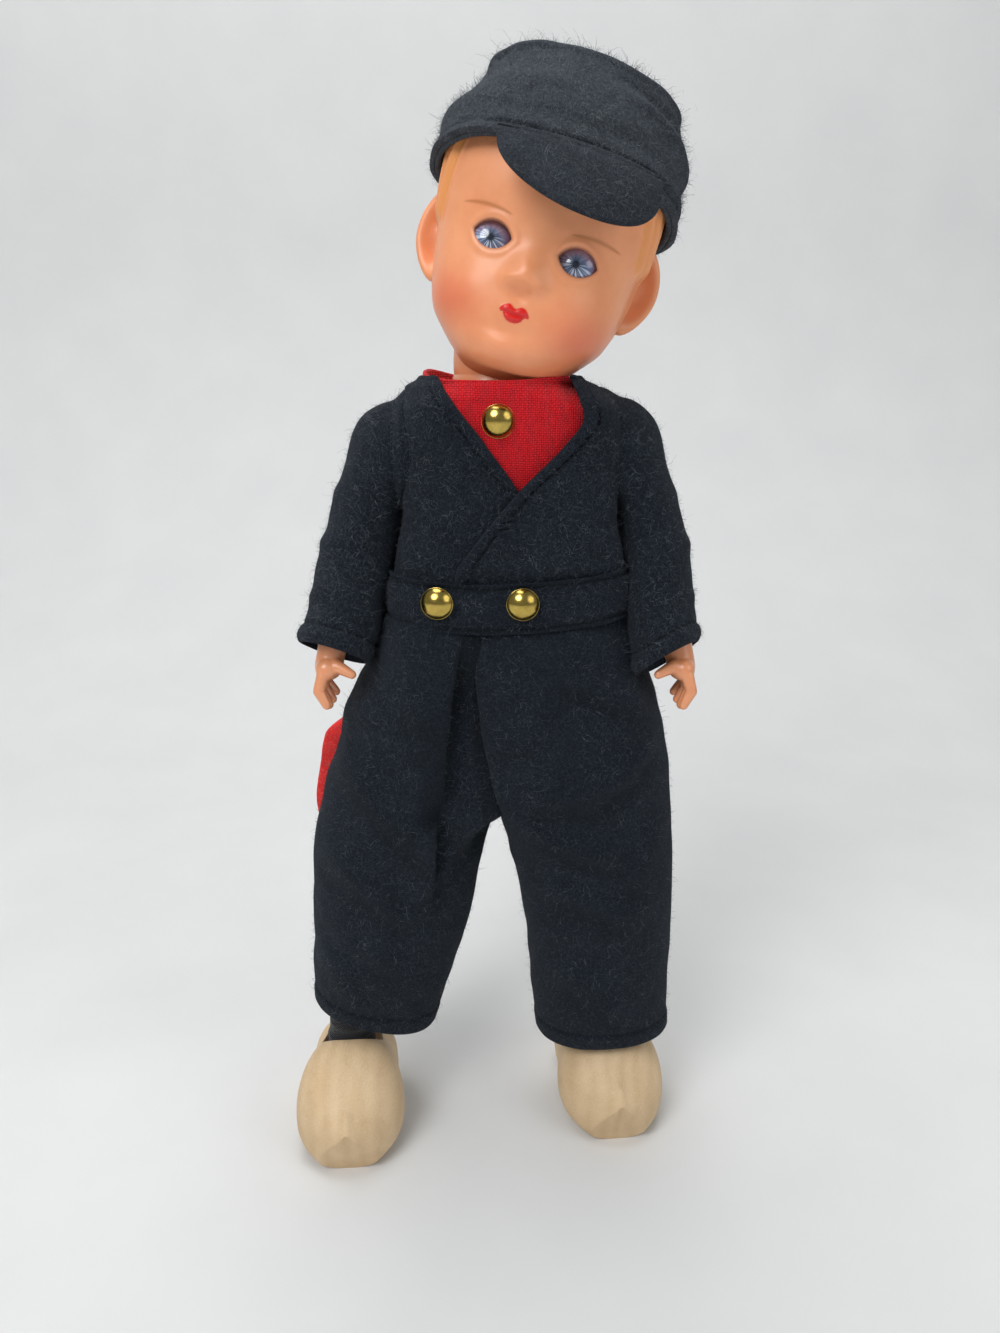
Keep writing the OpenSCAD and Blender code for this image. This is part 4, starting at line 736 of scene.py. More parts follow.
def head():
    share = np.arange(380) / 380
    t = 360 * (share - 0.42 * np.sin(2 * math.pi * share) / (2 * math.pi))
    t = signed(t)[None, :]
    runs = ((0.006, 0.12, 34), (0.124, 0.62, 150), (0.635, 0.985, 26))
    s = np.concatenate([np.linspace(*run) for run in runs])[:, None]
    face = np.clip((1 + np.cos(np.radians(t))) / 2, 0, 1) ** 2
    z = CHIN_Z + s * HEAD_H - curve(HEAD_SHARES, s, 4) * HEAD_H * face
    a, f, b = (curve(HEAD_SHARES, s, k) * w for k, w in ((1, HEAD_W / 2), (2, HEAD_F), (3, HEAD_B)))
    # Rise of the head under the ears, and full cheeks
    side = np.abs(t)
    tall = np.where(z > 31, (z - 31) / 10.5, (31 - z) / 11.5)
    under_ear = 1.2 * hump(side, 104, 16) * np.exp(-tall**4)
    a = a + under_ear + 0.7 * hump(z, 17, 6) * hump(side, 62, 26)
    p = level(0, z, a, f, b, 0.9, t)
    x, y, z = p[..., 0], p[..., 1], p[..., 2]
    front = ease((-y - 4) / 8)
    # Snap points near the eye openings onto their edge
    for way in SIDES:
        fx, fz = face_at(x, z)
        d, gx, gz = almond(fx - way * EYE_X, fz - EYE_Z)
        near = (np.abs(d) < 0.17) & (y < -8)
        x = np.where(near, x - d * gx, x)
        z = np.where(near, z - d * gz, z)
    fx, fz = face_at(x, z)
    # Nose: bridge, tip and wings, with a hollow under it
    out = 0.55 * hump(fx, 0, 3.8) * ease((fz - 24) / 4) * ease((37 - fz) / 10)
    out = out + 2.8 * mound(fx, fz, (0, 25.2), (3.8, np.where(fz < 25.2, 2.4, 4.6)))
    out = out + 0.85 * pair(fx, fz, (3.5, 24.2), (2.0, 1.8))
    out = out - 0.5 * mound(fx, fz, (0, 20.9), (2.2, 1.2))
    # Cheeks, brow and chin
    out = out + 0.9 * pair(fx, fz, (13, 19), (6, 6))
    out = out + 0.7 * mound(fx, fz, (0, 9.5), (5, 3.2))
    out = out - 0.7 * pair(fx, fz, (9.6, 32.2), (6.5, 5))
    out = out - 0.35 * mound(fx, fz, (0, 13.4), (5.5, 1.6))
    # Mouth
    inside, line = lips(fx, fz - MOUTH_Z)
    lip = ease(inside / 0.8)
    groove = hump(fz - MOUTH_Z, line, 0.3) * ease((3.3 - np.abs(fx)) / 0.8)
    out = out + 0.6 * lip - 0.6 * groove + 0.3 * mound(fx, fz, (0, MOUTH_Z), (5, 3.4))
    # Eye openings with a rolled lip
    eyes, lid_line = 0, 0
    for way in SIDES:
        d, _, _ = almond(fx - way * EYE_X, fz - EYE_Z)
        d = np.where(y < -6, d, 9)
        eyes = np.maximum(eyes, (d < -0.05) * 1.0)
        lid_line = np.maximum(lid_line, hump(d, 0.0, 0.28) * 1.0)
        out = out + 0.35 * hump(d, 0.9, 0.9) * (d > -0.05)
    y = y - front * out + 5.0 * eyes
    # Moulded hair at the temples and behind, in combed locks
    edge = 63 - 0.9 * (z - 36)
    temple = ease((side - edge) / 3) * ease((z - 33) / 4)
    hair = np.clip(temple + ease((side - 116) / 8) * ease((z - 12) / 6), 0, 1)
    locks = np.where(side < 100, np.cos((side - edge) * 0.62 + 0.4), np.sin(np.radians(side) * 30 + 0.22 * z))
    swell = hair * (0.6 + 0.6 * locks)
    grow = unit(np.stack([x, y, 0 * z], -1))
    p = np.stack([x, y, z], -1) + swell[..., None] * grow
    # Paint
    mouth = ease((inside + 0.1) / 0.22) * (y < -8)
    off = np.abs(fx)
    arch = 37.2 - 0.020 * (off - 12.4) ** 2
    reach = np.clip(1 - ((off - 12.4) / 6.3) ** 2, 0, 1)
    brow = hump(fz, arch, 0.10 + 0.36 * reach) * ease(reach * 2.2) * (y < -6)
    blush = pair(fx, fz, (15.5, 16.5), (8, 6.0)) * (y < 4)
    blush = 0.6 * blush + 0.15 * mound(fx, fz, (0, 8.5), (6, 4))
    nostril = pair(fx, fz, (1.8, 22.6), (0.9, 0.6))
    shade = 0.2 * nostril + 0.12 * mound(fx, fz, (0, 22.2), (4, 1.2))
    shade = shade + 0.35 * ease((9.0 - z) / 3.5) + 0.3 * hump(side, 82, 4) * np.exp(-tall**2)
    # rim: the painted lid line round the eye openings, and painted shade on their inner walls
    values = {
        "lips": mouth, "brow": 0.8 * brow, "blush": blush, "hair": hair * (0.85 - 0.4 * locks),
        "shade": np.clip(shade, 0, 1), "rim": np.clip(0.5 * lid_line + 0.85 * eyes, 0, 1),
    }
    rings = [ring(0, 4.0, 11.4, t)[0], *p]
    points, faces = solid(np.stack(rings))
    n = t.size
    flat = {}
    for key, v in values.items():
        v = np.broadcast_to(v, z.shape).reshape(-1)
        flat[key] = np.concatenate([np.zeros(2 * n), v, np.zeros(n)])
    flat["shade"][: 2 * n] = 0.5
    # Ears and the neck below, which stands nearly upright
    parts = [(head_at(points), faces)]
    for way in SIDES:
        ear_points, ear_faces, ear_shade = ear(way)
        parts.append((head_at(ear_points), ear_faces))
        for key in flat:
            flat[key] = np.concatenate([flat[key], ear_shade * (key == "shade")])
    neck = solid(loft([ring(*row, circle(80)) for row in NECK_COLUMN], 16))
    parts.append(neck)
    for key in flat:
        flat[key] = np.concatenate([flat[key], np.full(len(neck[0]), 0.2 * (key == "shade"))])
    return piece("head", joined(parts), FACE, "skin", "head", ("head_front", "head_back"), flat)


def eyeball(way):
    around = np.linspace(0, 2 * math.pi, 128, endpoint=False)[None, :]
    gone = np.radians(np.concatenate([np.linspace(0.6, 50, 60), np.linspace(53, 178, 34)]))[:, None]
    flat = 1 - 0.02 * np.exp(-((gone / 0.5) ** 2))
    x = EYE_R * np.sin(gone) * np.cos(around)
    z = EYE_R * np.sin(gone) * np.sin(around)
    y = -EYE_R * np.cos(gone) * flat + 0 * around
    p = np.stack([x, y, z], -1)
    dip = turn_x(-10 if way < 0 else -4)
    centre = np.array([way * EYE_X, EYE_Y, EYE_Z])
    points, faces = solid(p @ dip.T + centre)
    rise = np.degrees(np.arctan2(p[..., 2], -p[..., 1]))
    rise = np.where(p[..., 1] < 0, rise, np.where(p[..., 2] > 0, 90, -90))
    n = around.size
    spread = lambda v: np.concatenate([np.full(n, v[0].mean()), v.reshape(-1), np.full(n, v[-1].mean())])
    angle = np.degrees(gone) + 0 * around
    spot = np.stack([np.cos(around) + 0 * gone, np.sin(around) + 0 * gone, angle], -1)
    values = {
        "iris": np.concatenate([np.tile([0, 0, 0.1], (n, 1)), spot.reshape(-1, 3), np.tile([0, 0, 179], (n, 1))]),
        "edge": spread(ease((angle - 12) / 20)),
        "lid": spread(ease((rise - 40) / 1.5)),
        "lash": spread(hump(rise, 40, 1.6) * (p[..., 1] < 0)),
    }
    name = SIDES[way] + "_eye"
    return piece(name + "_glass", (head_at(points), faces), IRIS, "iris", "eyes", (name,), values)


# Cap: height share, girth share, sideways share
CAP_H, CAP_A, CAP_F, CAP_B = 26.4, 28.5, 26.54, 29.1
CAP_TURN = turn_z(11) @ turn_x(-11)
CAP_AT = np.array([0, 0, 46.2])
CAP_SHARES = [
    (0, 1, 0), (0.22, 1, 0), (0.36, 1.01, 0.0), (0.52, 0.965, 0.01), (0.68, 0.89, 0.025), (0.82, 0.82, 0.03),
    (0.93, 0.73, 0.03), (0.985, 0.5, 0.03),
]
BAND_H = 6.0
# Folds of the crown: start and end as angle and height in hundredths, width, rise
CAP_FOLDS = [
    ((18, 62), (88, 40), 5.5, 1.5), ((10, 74), (80, 66), 5, -1.2), ((40, 36), (100, 32), 4, -1.0),
    ((-70, 60), (-20, 52), 6, 0.45), ((120, 60), (200, 48), 7, 0.6), ((-160, 66), (-100, 44), 7, -0.5),
]


def cap_at(p):
    return head_at(p @ CAP_TURN.T + CAP_AT)


def cap_edge(t):
    """Rise and dip of the cap's lower edge."""
    return 1.8 * hump(t, -48, 34) - 3.2 * hump(t, 98, 34)


def cap_ring(x, z, share, out, t):
    return level(x, z, share * CAP_A + out, share * CAP_F + out, share * CAP_B + out, 0.95, t)


def cap_crown():
    t = circle(220)[None, :]
    s = np.linspace(0.02, 0.985, 90)[:, None]
    u = signed(t)
    g, shift = curve(CAP_SHARES, s, 1), curve(CAP_SHARES, s, 2) * CAP_A
    soft = ease((s - 0.22) / 0.3)
    dent = 0.6 * soft * np.sin(np.radians(3 * t + 200 * s))
    folds = sum(ridge(u, 100 * s, *fold) for fold in CAP_FOLDS) - 1.6 * hump(u, -75, 38) * hump(s, 0.62, 0.2)
    seam = 0.25 * hump(s, 0.865, 0.035) - 0.15 * hump(s, 0.80, 0.03)
    roll = (0.3 + 1.5 * hump(u, 32, 55)) * hump(s, 0.13, np.where(s > 0.13, 0.085, 0.025))
    low = cap_edge(u) * (1 - s) ** 2
    grids = []
    for inset in (0, FELT):
        d = dent + soft * folds + (seam + roll if inset == 0 else 0) - inset
        grids.append(cap_ring(shift, s * (CAP_H - inset) + low, g, d, t))
    outer = grids[0]
    outer = outer + (0.22 * soft * ripple(outer, 5, 9))[..., None] * unit(outer - (0, 0, 8))
    felted("cap_crown", cap_at(outer), cap_at(grids[1]), "cap", (9000, 2.8, 11), FELT_CAP, closed=True)


def cap_band():
    t = circle(260)[None, :]
    v = np.linspace(0.06, 0.98, 26)[:, None]
    thick = 0.2 + 1.2 * ease(v / 0.15) * ease((0.55 - v) / 0.4)
    stitch = 0.25 * hump(v, 0.2, 0.07) * stitches(t, 96)
    bulge = 0.14 * np.sin(np.radians(5 * t)) + 0.1 * np.sin(np.radians(13 * t + 40))
    low = cap_edge(signed(t)) * (1 - 0.21 * v) ** 2 - 0.6 * v
    gap = 0.05 + 0 * t + 0 * v
    grids = [cap_at(cap_ring(0, v * BAND_H + low, 1, g, t)) for g in (gap + thick - stitch + bulge, gap)]
    felted("cap_band", *grids, "cap", (1500, 2.0, 12), FELT_CAP)


# Peak: share of its reach, outward share, downward share
PEAK_SHARES = [(0, 0, 0), (0.35, 0.24, 0.22), (0.7, 0.4, 0.6), (1, 0.46, 0.92)]
PEAK_REACH, PEAK_ANGLE = 15.2, 33.0


def cap_peak():
    v = np.linspace(0, 1, 44)[:, None]
    u = np.linspace(1, -1, 110)[None, :]
    bow = np.maximum(0, np.cos(math.pi / 2 * u)) ** 0.6 * (1 + 0.2 * u)
    l = PEAK_REACH * bow + FELT
    sag = 0.25 * np.sin(3 * u + 1.0) * v
    roll = 0.35 * hump(v, 0.08, 0.07) - 0.25 * hump(v, 0.2, 0.05)
    z = 0.35 * BAND_H - curve(PEAK_SHARES, v, 2) * l
    grids = []
    for k in (1, 0):
        g = 1.5 + 0.3 + curve(PEAK_SHARES, v, 1) * l + k * FELT + sag + k * roll
        grids.append(cap_at(cap_ring(0, z, 1, g, PEAK_ANGLE * u + 1)))
    felted("cap_peak", *grids, "cap", (900, 2.0, 13), FELT_PEAK_SHADED, wrap=False)


# Jacket: height share from the waist to the neck edge, then width, depth, slack and neck shift shares
TORSO_HALF, TORSO_DEEP, SLACK = 24.0, 15.5, 4.0
JACKET_SHARES = [
    (0, 0.95, 0.95, 1, 0), (0.19, 0.95, 0.96, 1, 0), (0.31, 0.98, 0.98, 0.5, 0), (0.43, 1, 1, 0, 0),
    (0.56, 1, 1, 0, 0), (0.72, 1, 1.04, 0, 0), (0.84, 0.995, 1.1, 0, 0), (0.92, 0.95, 1.13, 0, 0.2),
    (0.97, 0.87, 1.14, 0, 0.8),
]
WAIST_Z = HIP_Z + 33
JACKET_Z = WAIST_Z + 0.05
JACKET_H = NECK[2] + 3 - JACKET_Z
NECK_WRAP = 17.6
UNDER, LAP = 1.0, 1.8


def jacket_sizes(s):
    c = np.minimum(s, 0.97)
    k = ease((s - 0.97) / 0.03)
    slack = curve(JACKET_SHARES, c, 3) * SLACK
    a = mix(curve(JACKET_SHARES, c, 1) * TORSO_HALF + slack, NECK_WRAP, k)
    d = mix(curve(JACKET_SHARES, c, 2) * TORSO_DEEP + 0.25 * slack, NECK_WRAP, k)
    e = mix(0.56, 1, ease((s - 0.9) / 0.1))
    return NECK_X * mix(curve(JACKET_SHARES, c, 4), 1, k), a, d, e


def jacket(s, t, out):
    x, a, d, e = jacket_sizes(s)
    g = UNDER + out
    return level(x, JACKET_Z + s * JACKET_H, a + g, d + g, d + g, e, t)


def jacket_side(y, z, side):
    """Sideways reach of the jacket's outside at a place."""
    s = np.clip((z - JACKET_Z) / JACKET_H, 0, 0.985)
    x, a, d, e = jacket_sizes(s)
    deep = np.clip(np.abs(y) / (d + UNDER + FELT), 0, 1)
    return side * x + (a + UNDER + FELT) * np.maximum(0, 1 - deep ** (2 / e)) ** (e / 2)


def in_armhole(p):
    return abs(p[0]) > 18 and math.hypot(p[1], p[2] - SHOULDER_Z) < 9.6


def edge_steps(rows):
    s = np.linspace(0, 1, rows)
    return np.concatenate([s[s < 0.96], np.linspace(0.962, 1, 14)])[:, None]


# Lapel edges: depth below the neck edge, sideways place
RIGHT_LAPEL = [(0, 14.0), (4, 13.4), (12, 7.6), (25.2, -2.0), (46, -8.2), (57, -8.2)]
LEFT_LAPEL = [(0, 14.6), (3, 16.4), (8, 17.4), (12.5, 14.2), (25.2, 2.2), (52, -13.4), (57, -13.4)]


def jacket_front(side, lapel, over_side, name, seed):
    s = edge_steps(130)
    x, a, _, e = jacket_sizes(s)
    edge = curve(lapel, (1 - s) * JACKET_H, 1)
    reach = np.clip(edge / (a + UNDER + FELT + x), -1, 1)
    start = side * np.degrees(np.arcsin(spow(reach, 1 / e)))
    share = np.linspace(0, 1, 90)[None, :] ** 1.25
    t = mix(start, 90.0 * side, share)
    lap = over_side * LAP * ease((90 - np.abs(t)) / 40) * mix(0.15, 1, ease((s - 0.19) / 0.08))
    flat = jacket(s, t, lap + FELT)
    steps = np.linalg.norm(np.diff(flat, axis=1), axis=-1)
    away = np.concatenate([0 * s, np.cumsum(steps, axis=1)], axis=1)
    height = JACKET_Z + s * JACKET_H
    # Turned edge, its stitch line and soft folds
    turned = 0.6 * ease((2.6 - away) / 0.8)
    groove = 0.9 * hump(away, 2.1, 0.45) * (0.7 + 0.3 * np.sign(np.sin(height * 3.6)))
    x, z = np.abs(flat[..., 0]), height + 0 * away
    folds = 0.35 * ripple(flat, seed, 14) * ease(away / 8)
    folds = folds + ridge(x, z, (20, 172), (8, 162), 2.6, 0.7) + ridge(x, z, (24, 180), (14, 170), 2.4, 0.55)
    lift = (1.5 * ease((s - 0.9) / 0.1))[..., None] * np.array([0, 0, 1])
    inner = jacket(s, t, lap) + lift
    outer = jacket(s, t, lap + FELT + turned - groove + folds) + lift
    seam = on_shell(hump(away, 2.1, 0.4), False)
    felted(name, outer, inner, "torso", (2600, 1.7, seed), wrap=False, paint={"seam": seam}, drop=in_armhole)


def jacket_back():
    s = edge_steps(100)
    t = np.linspace(90, 270, 120)[None, :]
    flat = jacket(s, t, FELT)
    x, z = flat[..., 0], JACKET_Z + s * JACKET_H + 0 * t
    seam = 0.5 * hump(t, 180, 1.2)
    folds = 0.4 * ripple(flat, 31, 15)
    folds = folds + ridge(x, z, (-16, 158), (-6, 178), 3, 0.6) + ridge(x, z, (17, 158), (8, 176), 3, 0.6)
    outer, inner = jacket(s, t, FELT + folds - seam), jacket(s, t, 0)
    felted("jacket_back", outer, inner, "torso", (3000, 1.7, 14), wrap=False, drop=in_armhole)


def dickey():
    s = np.linspace(0.43, 1.0, 90)[:, None]
    t = np.linspace(-64, 64, 110)[None, :]
    hem = 0.3 * ease((s - 0.93) / 0.02)
    pull = 0.25 * np.sin(np.radians(t * 5) + 8 * s) * ease((0.98 - s) / 0.2)
    outer = jacket(s, t, 0.7 - UNDER + 0.1 + hem + pull)
    inner = jacket(s, t, 0.1 - UNDER + 0 * pull)
    made = piece("dickey_cotton", shell(outer, inner, False), COTTON, "red_cotton", "torso", ("dickey",))


def collar():
    t = circle(200)[None, :]
    v = np.linspace(0, 1, 30)[:, None]
    low = NECK[2] - 1.95
    high = NECK[2] + 3.6 + 2.7 * hump(t, 254, 42) + 1.4 * hump(t, 52, 24)
    r = 16.9 + 0.25 * np.sin(np.radians(4 * t)) * v + (0.5 + 0.5 * hump(t, 254, 50)) * v
    fold = 0.28 * ease((v - 0.6) / 0.12)
    outer, inner = (ring(NECK_X, mix(low, high, v) + 0 * t, k, t) for k in (r + 0.7 + fold, r))
    piece("collar_cotton", shell(outer, inner), COTTON, "red_cotton", "torso", ("collar",))


# Studs: radius and height
STUD_R, STUD_H = 3.95, 2.4


def stud(name, spot, heading, tip):
    """A dome of thin brass with a narrow rim."""
    t = np.linspace(0, 2 * math.pi, 72, endpoint=False)
    r, h = STUD_R, STUD_H
    ball = (r * r + h * h) / (2 * h)
    a = np.linspace(0.02, math.asin(0.99 * r / ball), 26)
    rows = [(ball * math.sin(g), h - ball * (1 - math.cos(g))) for g in a]
    rows += [(1.0 * r, 0.12), (0.99 * r, 0.04), (0.95 * r, 0.0), (0.5 * r, 0.0)]
    points, faces = solid(np.stack([stacked(k * np.cos(t), -w, k * np.sin(t)) for k, w in rows]))
    points = points @ turn_x(tip).T @ turn_z(heading).T + spot
    piece(name + "_dome", (points, faces), BRASS, "brass", "torso", (name,))


WAISTBAND_H = 11.4


def band(v, t, out):
    """Points on the waistband, which follows the jacket and rises towards the sides."""
    s = v * WAISTBAND_H / JACKET_H
    g = 0.2 * LAP * ease((90 - np.minimum(np.abs(t), np.abs(360 - t))) / 40)
    p = jacket(s, t, FELT + 0.3 + g + out) - (0, 0, 0.05)
    x = p[..., 0] + 6
    p[..., 2] += np.where(x > 0, 3.4 * (np.abs(x) / 38) ** 1.6, 2.0 * (np.abs(x) / 26) ** 1.6) - 0.8
    return p


def waistband():
    t = circle(300)[None, :]
    v = np.linspace(0, 1, 40)[:, None]
    stitch = (0.35 * hump(v, 0.14, 0.035) + 0.35 * hump(v, 0.86, 0.035)) * stitches(t, 84)
    end = 0.6 * hump(t, 62, 0.9) + 0.6 * hump(t, 292, 0.9)
    swell = 0.25 * np.sin(np.radians(7 * t)) * np.sin(3 * v) + 0.15 * np.sin(np.radians(11 * t + 50))
    edges = hump(v, 0.06, 0.05) + hump(v, 0.94, 0.05)
    tuck = ease((v - 0.55) / 0.45) * hump(np.abs(signed(t)), 90, 28)
    outer = band(v, t, FELT + swell - stitch - end - 0.7 * edges - tuck)
    inner = band(v, t, 0 * swell - tuck)
    felted("waistband", outer, inner, "torso", (1800, 1.6, 15), paint={"seam": on_shell(0.8 * edges + 0 * t)})


# Trousers, each half drawn on the doll's left. Height share from hem to hip axis, outer, inner and depth shares
LEG_SHARES = [
    (0, 0, 0, 0), (0.16, 0.02, 0.22, 0.25), (0.3, 0.06, 0.4, 0.45), (0.44, 0.12, 0.56, 0.62), (0.58, 0.2, 0.7, 0.76),
    (0.7, 0.3, 0.82, 0.86), (0.85, 0.58, 0.95, 0.96), (1, 1, 1, 1),
]
HIP_R, HEM_D = 21.0, 15.0
TROUSER_TOP, FORK_Z = 150, 97.0
# Folds of each half: start and end as sideways place and height, width, rise
TROUSER_FOLDS = {
    -1: [
        ((24, 132), (14, 112), 3.0, 0.8), ((40, 112), (22, 90), 3.4, 0.9), ((6, 95), (22, 78), 3.0, 0.9),
        ((44, 86), (28, 70), 3.6, 0.9), ((36, 60), (22, 44), 4, 0.7), ((48, 56), (40, 40), 4, 0.7),
    ],
    1: [
        ((14, 138), (34, 128), 2.8, 0.9), ((8, 104), (30, 112), 3.2, 1.0), ((6, 96), (26, 88), 3.0, 1.0),
        ((36, 118), (20, 104), 3, 0.8), ((14, 78), (34, 70), 3.6, 0.8), ((40, 96), (32, 80), 3.6, 0.8),
        ((16, 52), (30, 40), 4, 0.7),
    ],
}


def trousers(side, hem_out, hem_in, hem_z, hem_rise, hip_out):
    rows = []
    for h, o, i, d in LEG_SHARES:
        rows.append((mix(hem_z, HIP_Z, h), mix(hem_out, hip_out, o), mix(hem_in, 0.3, i), mix(HEM_D, HIP_R, d)))
    for z, share in ((124.5, 0.945), (131, 0.875), (137.3, 0.80)):
        rows.append((z, mix(35.3, hip_out, (share - 0.785) / 0.215), 0.3, HIP_R))
    rows += [(143, 34.6, 0.3, 20.4), (TROUSER_TOP, 32.4, 0.3, 19.0)]
    z = np.linspace(hem_z, TROUSER_TOP, 210)[:, None]
    t = signed(circle(260))[None, :]
    out_x, in_x, deep = (curve(rows, z, k) for k in (1, 2, 3))
    up = np.clip((z - hem_z) / (HIP_Z - hem_z), 0, 1)
    ahead = np.cos(np.radians(t)) > 0
    lean = np.clip((z - 98) / 50, 0, 1)
    if side > 0:
        seam = in_x - 3.4 * ease((z - 70) / 27) - 7.6 * lean
    else:
        seam = mix(in_x, -3.5 + 7.6 * lean, ease((z - 91) / 8))
    in_x = np.where(ahead, seam, in_x)
    c, a = (out_x + in_x) / 2, (out_x - in_x) / 2
    e_in = mix(0.86, 0.36, ease((z - 84) / 16))
    e = np.where(np.sin(np.radians(t)) > 0, 0.86, e_in)
    p = level(c, z, a, deep, deep, e, t)
    p[..., 2] += hem_rise * (p[..., 0] - c) / (2 * a) * (1 - up) ** 2
    x, y, h = p[..., 0], p[..., 1], p[..., 2]
    front, rear = ease(-y / 9), ease(y / 9)
    rise = 0.45 * ripple(p, 40 + side, 20) + 0.2 * ripple(p, 44 + side, 8)
    if side < 0:
        # Deep pleat at the doll's right of the front. Painted shade lies in its crease, beside the centre seam and in
        # the top of its recess.
        fold = mix(11.8, 17.6, (148 - h) / 48)
        deep_in = ease((148 - h) / 16) * ease((h - 66) / 32)
        rise = rise - front * 4.2 * deep_in * ease(fold - x)
        rise = rise + front * 1.5 * deep_in * hump(x, fold + 1.7, 1.9)
        under = mix(6.8, 2.1, (148 - h) / 48)
        crease_shade = deep_in * hump(x, fold - 1.4, 1.7)
        lower = 0.75 * ease((TROUSER_TOP - h) / 6) * ease((h - 95) / 6) * hump(x, under + 0.8, 1.5)
        hollow = 0.8 * ease((h - 116) / 18) * ease(fold - x) * ease((TROUSER_TOP - h) / 4)
        dark = np.maximum(np.maximum(crease_shade, lower), hollow) * front * 0.9
    else:
        rise = rise + front * hump(x - seam, 1.6, 1.9) * ease((h - 97) / 10)
        dark = 0 * x
    for start, end, width, amount in TROUSER_FOLDS[side]:
        rise = rise + front * ridge(x, h, start, end, width, 1.7 * amount)
        # Painted shade just below each fold
        dark = np.maximum(dark, 0.5 * front * ridge(x, h + 1.4 * width, start, end, 0.8 * width, 1.0))
        rise = rise + rear * ridge(x, h - 4, start, end, width * 1.3, amount * 0.9)
    rise = rise * ease((TROUSER_TOP - z) / 8) * mix(0.35, 1, ease((z - hem_z) / 14))
    hem = 0.4 * hump(z - hem_z, 4.2, 0.5) * stitches(t, 60)
    flare = 0.35 * ease(4 - (z - hem_z))
    out_seam = 0.5 * hump(t, 92, 0.9) * ease((140 - z) / 20)
    radial = unit(p - stacked(c, 0 * c, h))
    outer = p + (rise - hem + flare - out_seam)[..., None] * radial
    inner = p + (np.minimum(rise, 0) - 1.45)[..., None] * radial
    outer, inner = mirrored(side, outer, inner)
    name = SIDES[side]
    fork = np.array([0, 0, FORK_Z])
    carried = ("torso", name + "_leg", fork, fork + 16 * np.array([side * 0.774, 0, -0.633]))
    nodes = [name + "_trouser_leg", name + "_hip_panel"] + (["trouser_seat"] if side > 0 else [])

    def hidden(q):
        return q[2] > 104 and abs(q[0]) < 11 and abs(q[1]) < 0.7 * HIP_R

    # The seam value: the hem's stitch line, and the painted shade of the pleat and folds
    paint = {"seam": on_shell(np.maximum(0.7 * hump(z - hem_z, 4.2, 0.45), dark))}
    piece(name + "_trousers", shell(outer, inner), FELT_DARK, "felt", carried, nodes, paint, hidden)
    nap(name + "_trousers_nap", outer, inner, 7000, 2.0, 50 + side, carried)


def handkerchief():
    """A red felt corner that hangs out at the doll's right hip and goes on behind the trousers."""
    v = np.linspace(0, 1, 40)[:, None]
    u = np.linspace(0, 1, 26)[None, :]
    z = mix(HIP_Z + 2.0, HIP_Z - 27.0, v)
    reach = curve([(0, 45.6), (0.25, 47.4), (0.5, 49.2), (0.8, 51.2), (1, 52.0)], v, 1)
    out = curve([(0, -0.6), (0.06, 1.4), (0.2, 2.6), (0.4, 2.5), (0.7, 1.2), (1, -0.4)], v, 1)
    over = ease(u / 0.4)
    x = reach - 1.4 + (out + 1.4) * over - 2.0 * ease((u - 0.4) / 0.6)
    y = 1.6 + 9.0 * ease((u - 0.3) / 0.7) + 0.4 * np.sin(5 * v + 2 * u)
    wave = 0.35 * np.sin(9 * v + 3 * u)
    middle = stacked(-(x + wave), y, z)
    way = 0.6 * unit(stacked(-over, over - 1.05, 0 * z))
    outer, inner = middle + way, middle - way
    made = piece("handkerchief_felt", shell(outer, inner, False), FELT_RED, "red_felt", "torso", ("handkerchief",))


# Sleeves: inner seam's lean share, drop share, narrowing share, splay, pitch, forward share
SLEEVE_SHARES = [
    (0.13, 0.32, 0.36, -70, 0, 0), (0.21, 0.38, 0.84, -46, 0, 0.02), (0.46, 0.55, 1, -26, -6, 0.12),
    (0.6, 0.71, 1, -14, -14, 0.34), (0.76, 0.88, 1, -12, -18, 0.58), (0.95, 1.02, 0.97, -18, -22, 0.74),
]
# Folds of a sleeve: share along it, lean, rise
SLEEVE_FOLDS = [(0.42, 0.02, 0.5), (0.55, -0.05, 0.6), (0.68, 0.06, 0.5), (0.82, -0.04, 0.45)]
SLEEVE_FACE, SLEEVE_HEAD, SLEEVE_LEAN, ARM_DROP, HAND_FORWARD = 26.8, 14.2, 9.0, 46.0, 13.0


def sleeve_ring(r, width, out, way, t, side):
    """A sleeve's ring. The inner line is let out towards the body, and the doll's left cuff hangs closer in."""
    low = float(ease((r[0] - 0.4) / 0.55))
    full = 3.0 * float(ease(r[0] / 0.3)) + (1.2 * low if side > 0 else -0.9 * low)
    w = mix(SLEEVE_HEAD, width / 2, r[2]) + full / 2 - (0.3 * low if side > 0 else 0)
    splay, drop = (r[3] - 13 * low, r[1] + 0.08 * low) if side > 0 else (r[3], r[1])
    d = w + 3 * r[2] + out
    seam = np.array([SLEEVE_FACE + r[0] * SLEEVE_LEAN - full, -r[5] * HAND_FORWARD, SHOULDER_Z - drop * ARM_DROP])
    g = math.radians(splay)
    c = seam + np.array([w * math.cos(g), 0, -w * math.sin(g)])
    return limb(c + way, w + out, d, 1, r[4], splay, t)


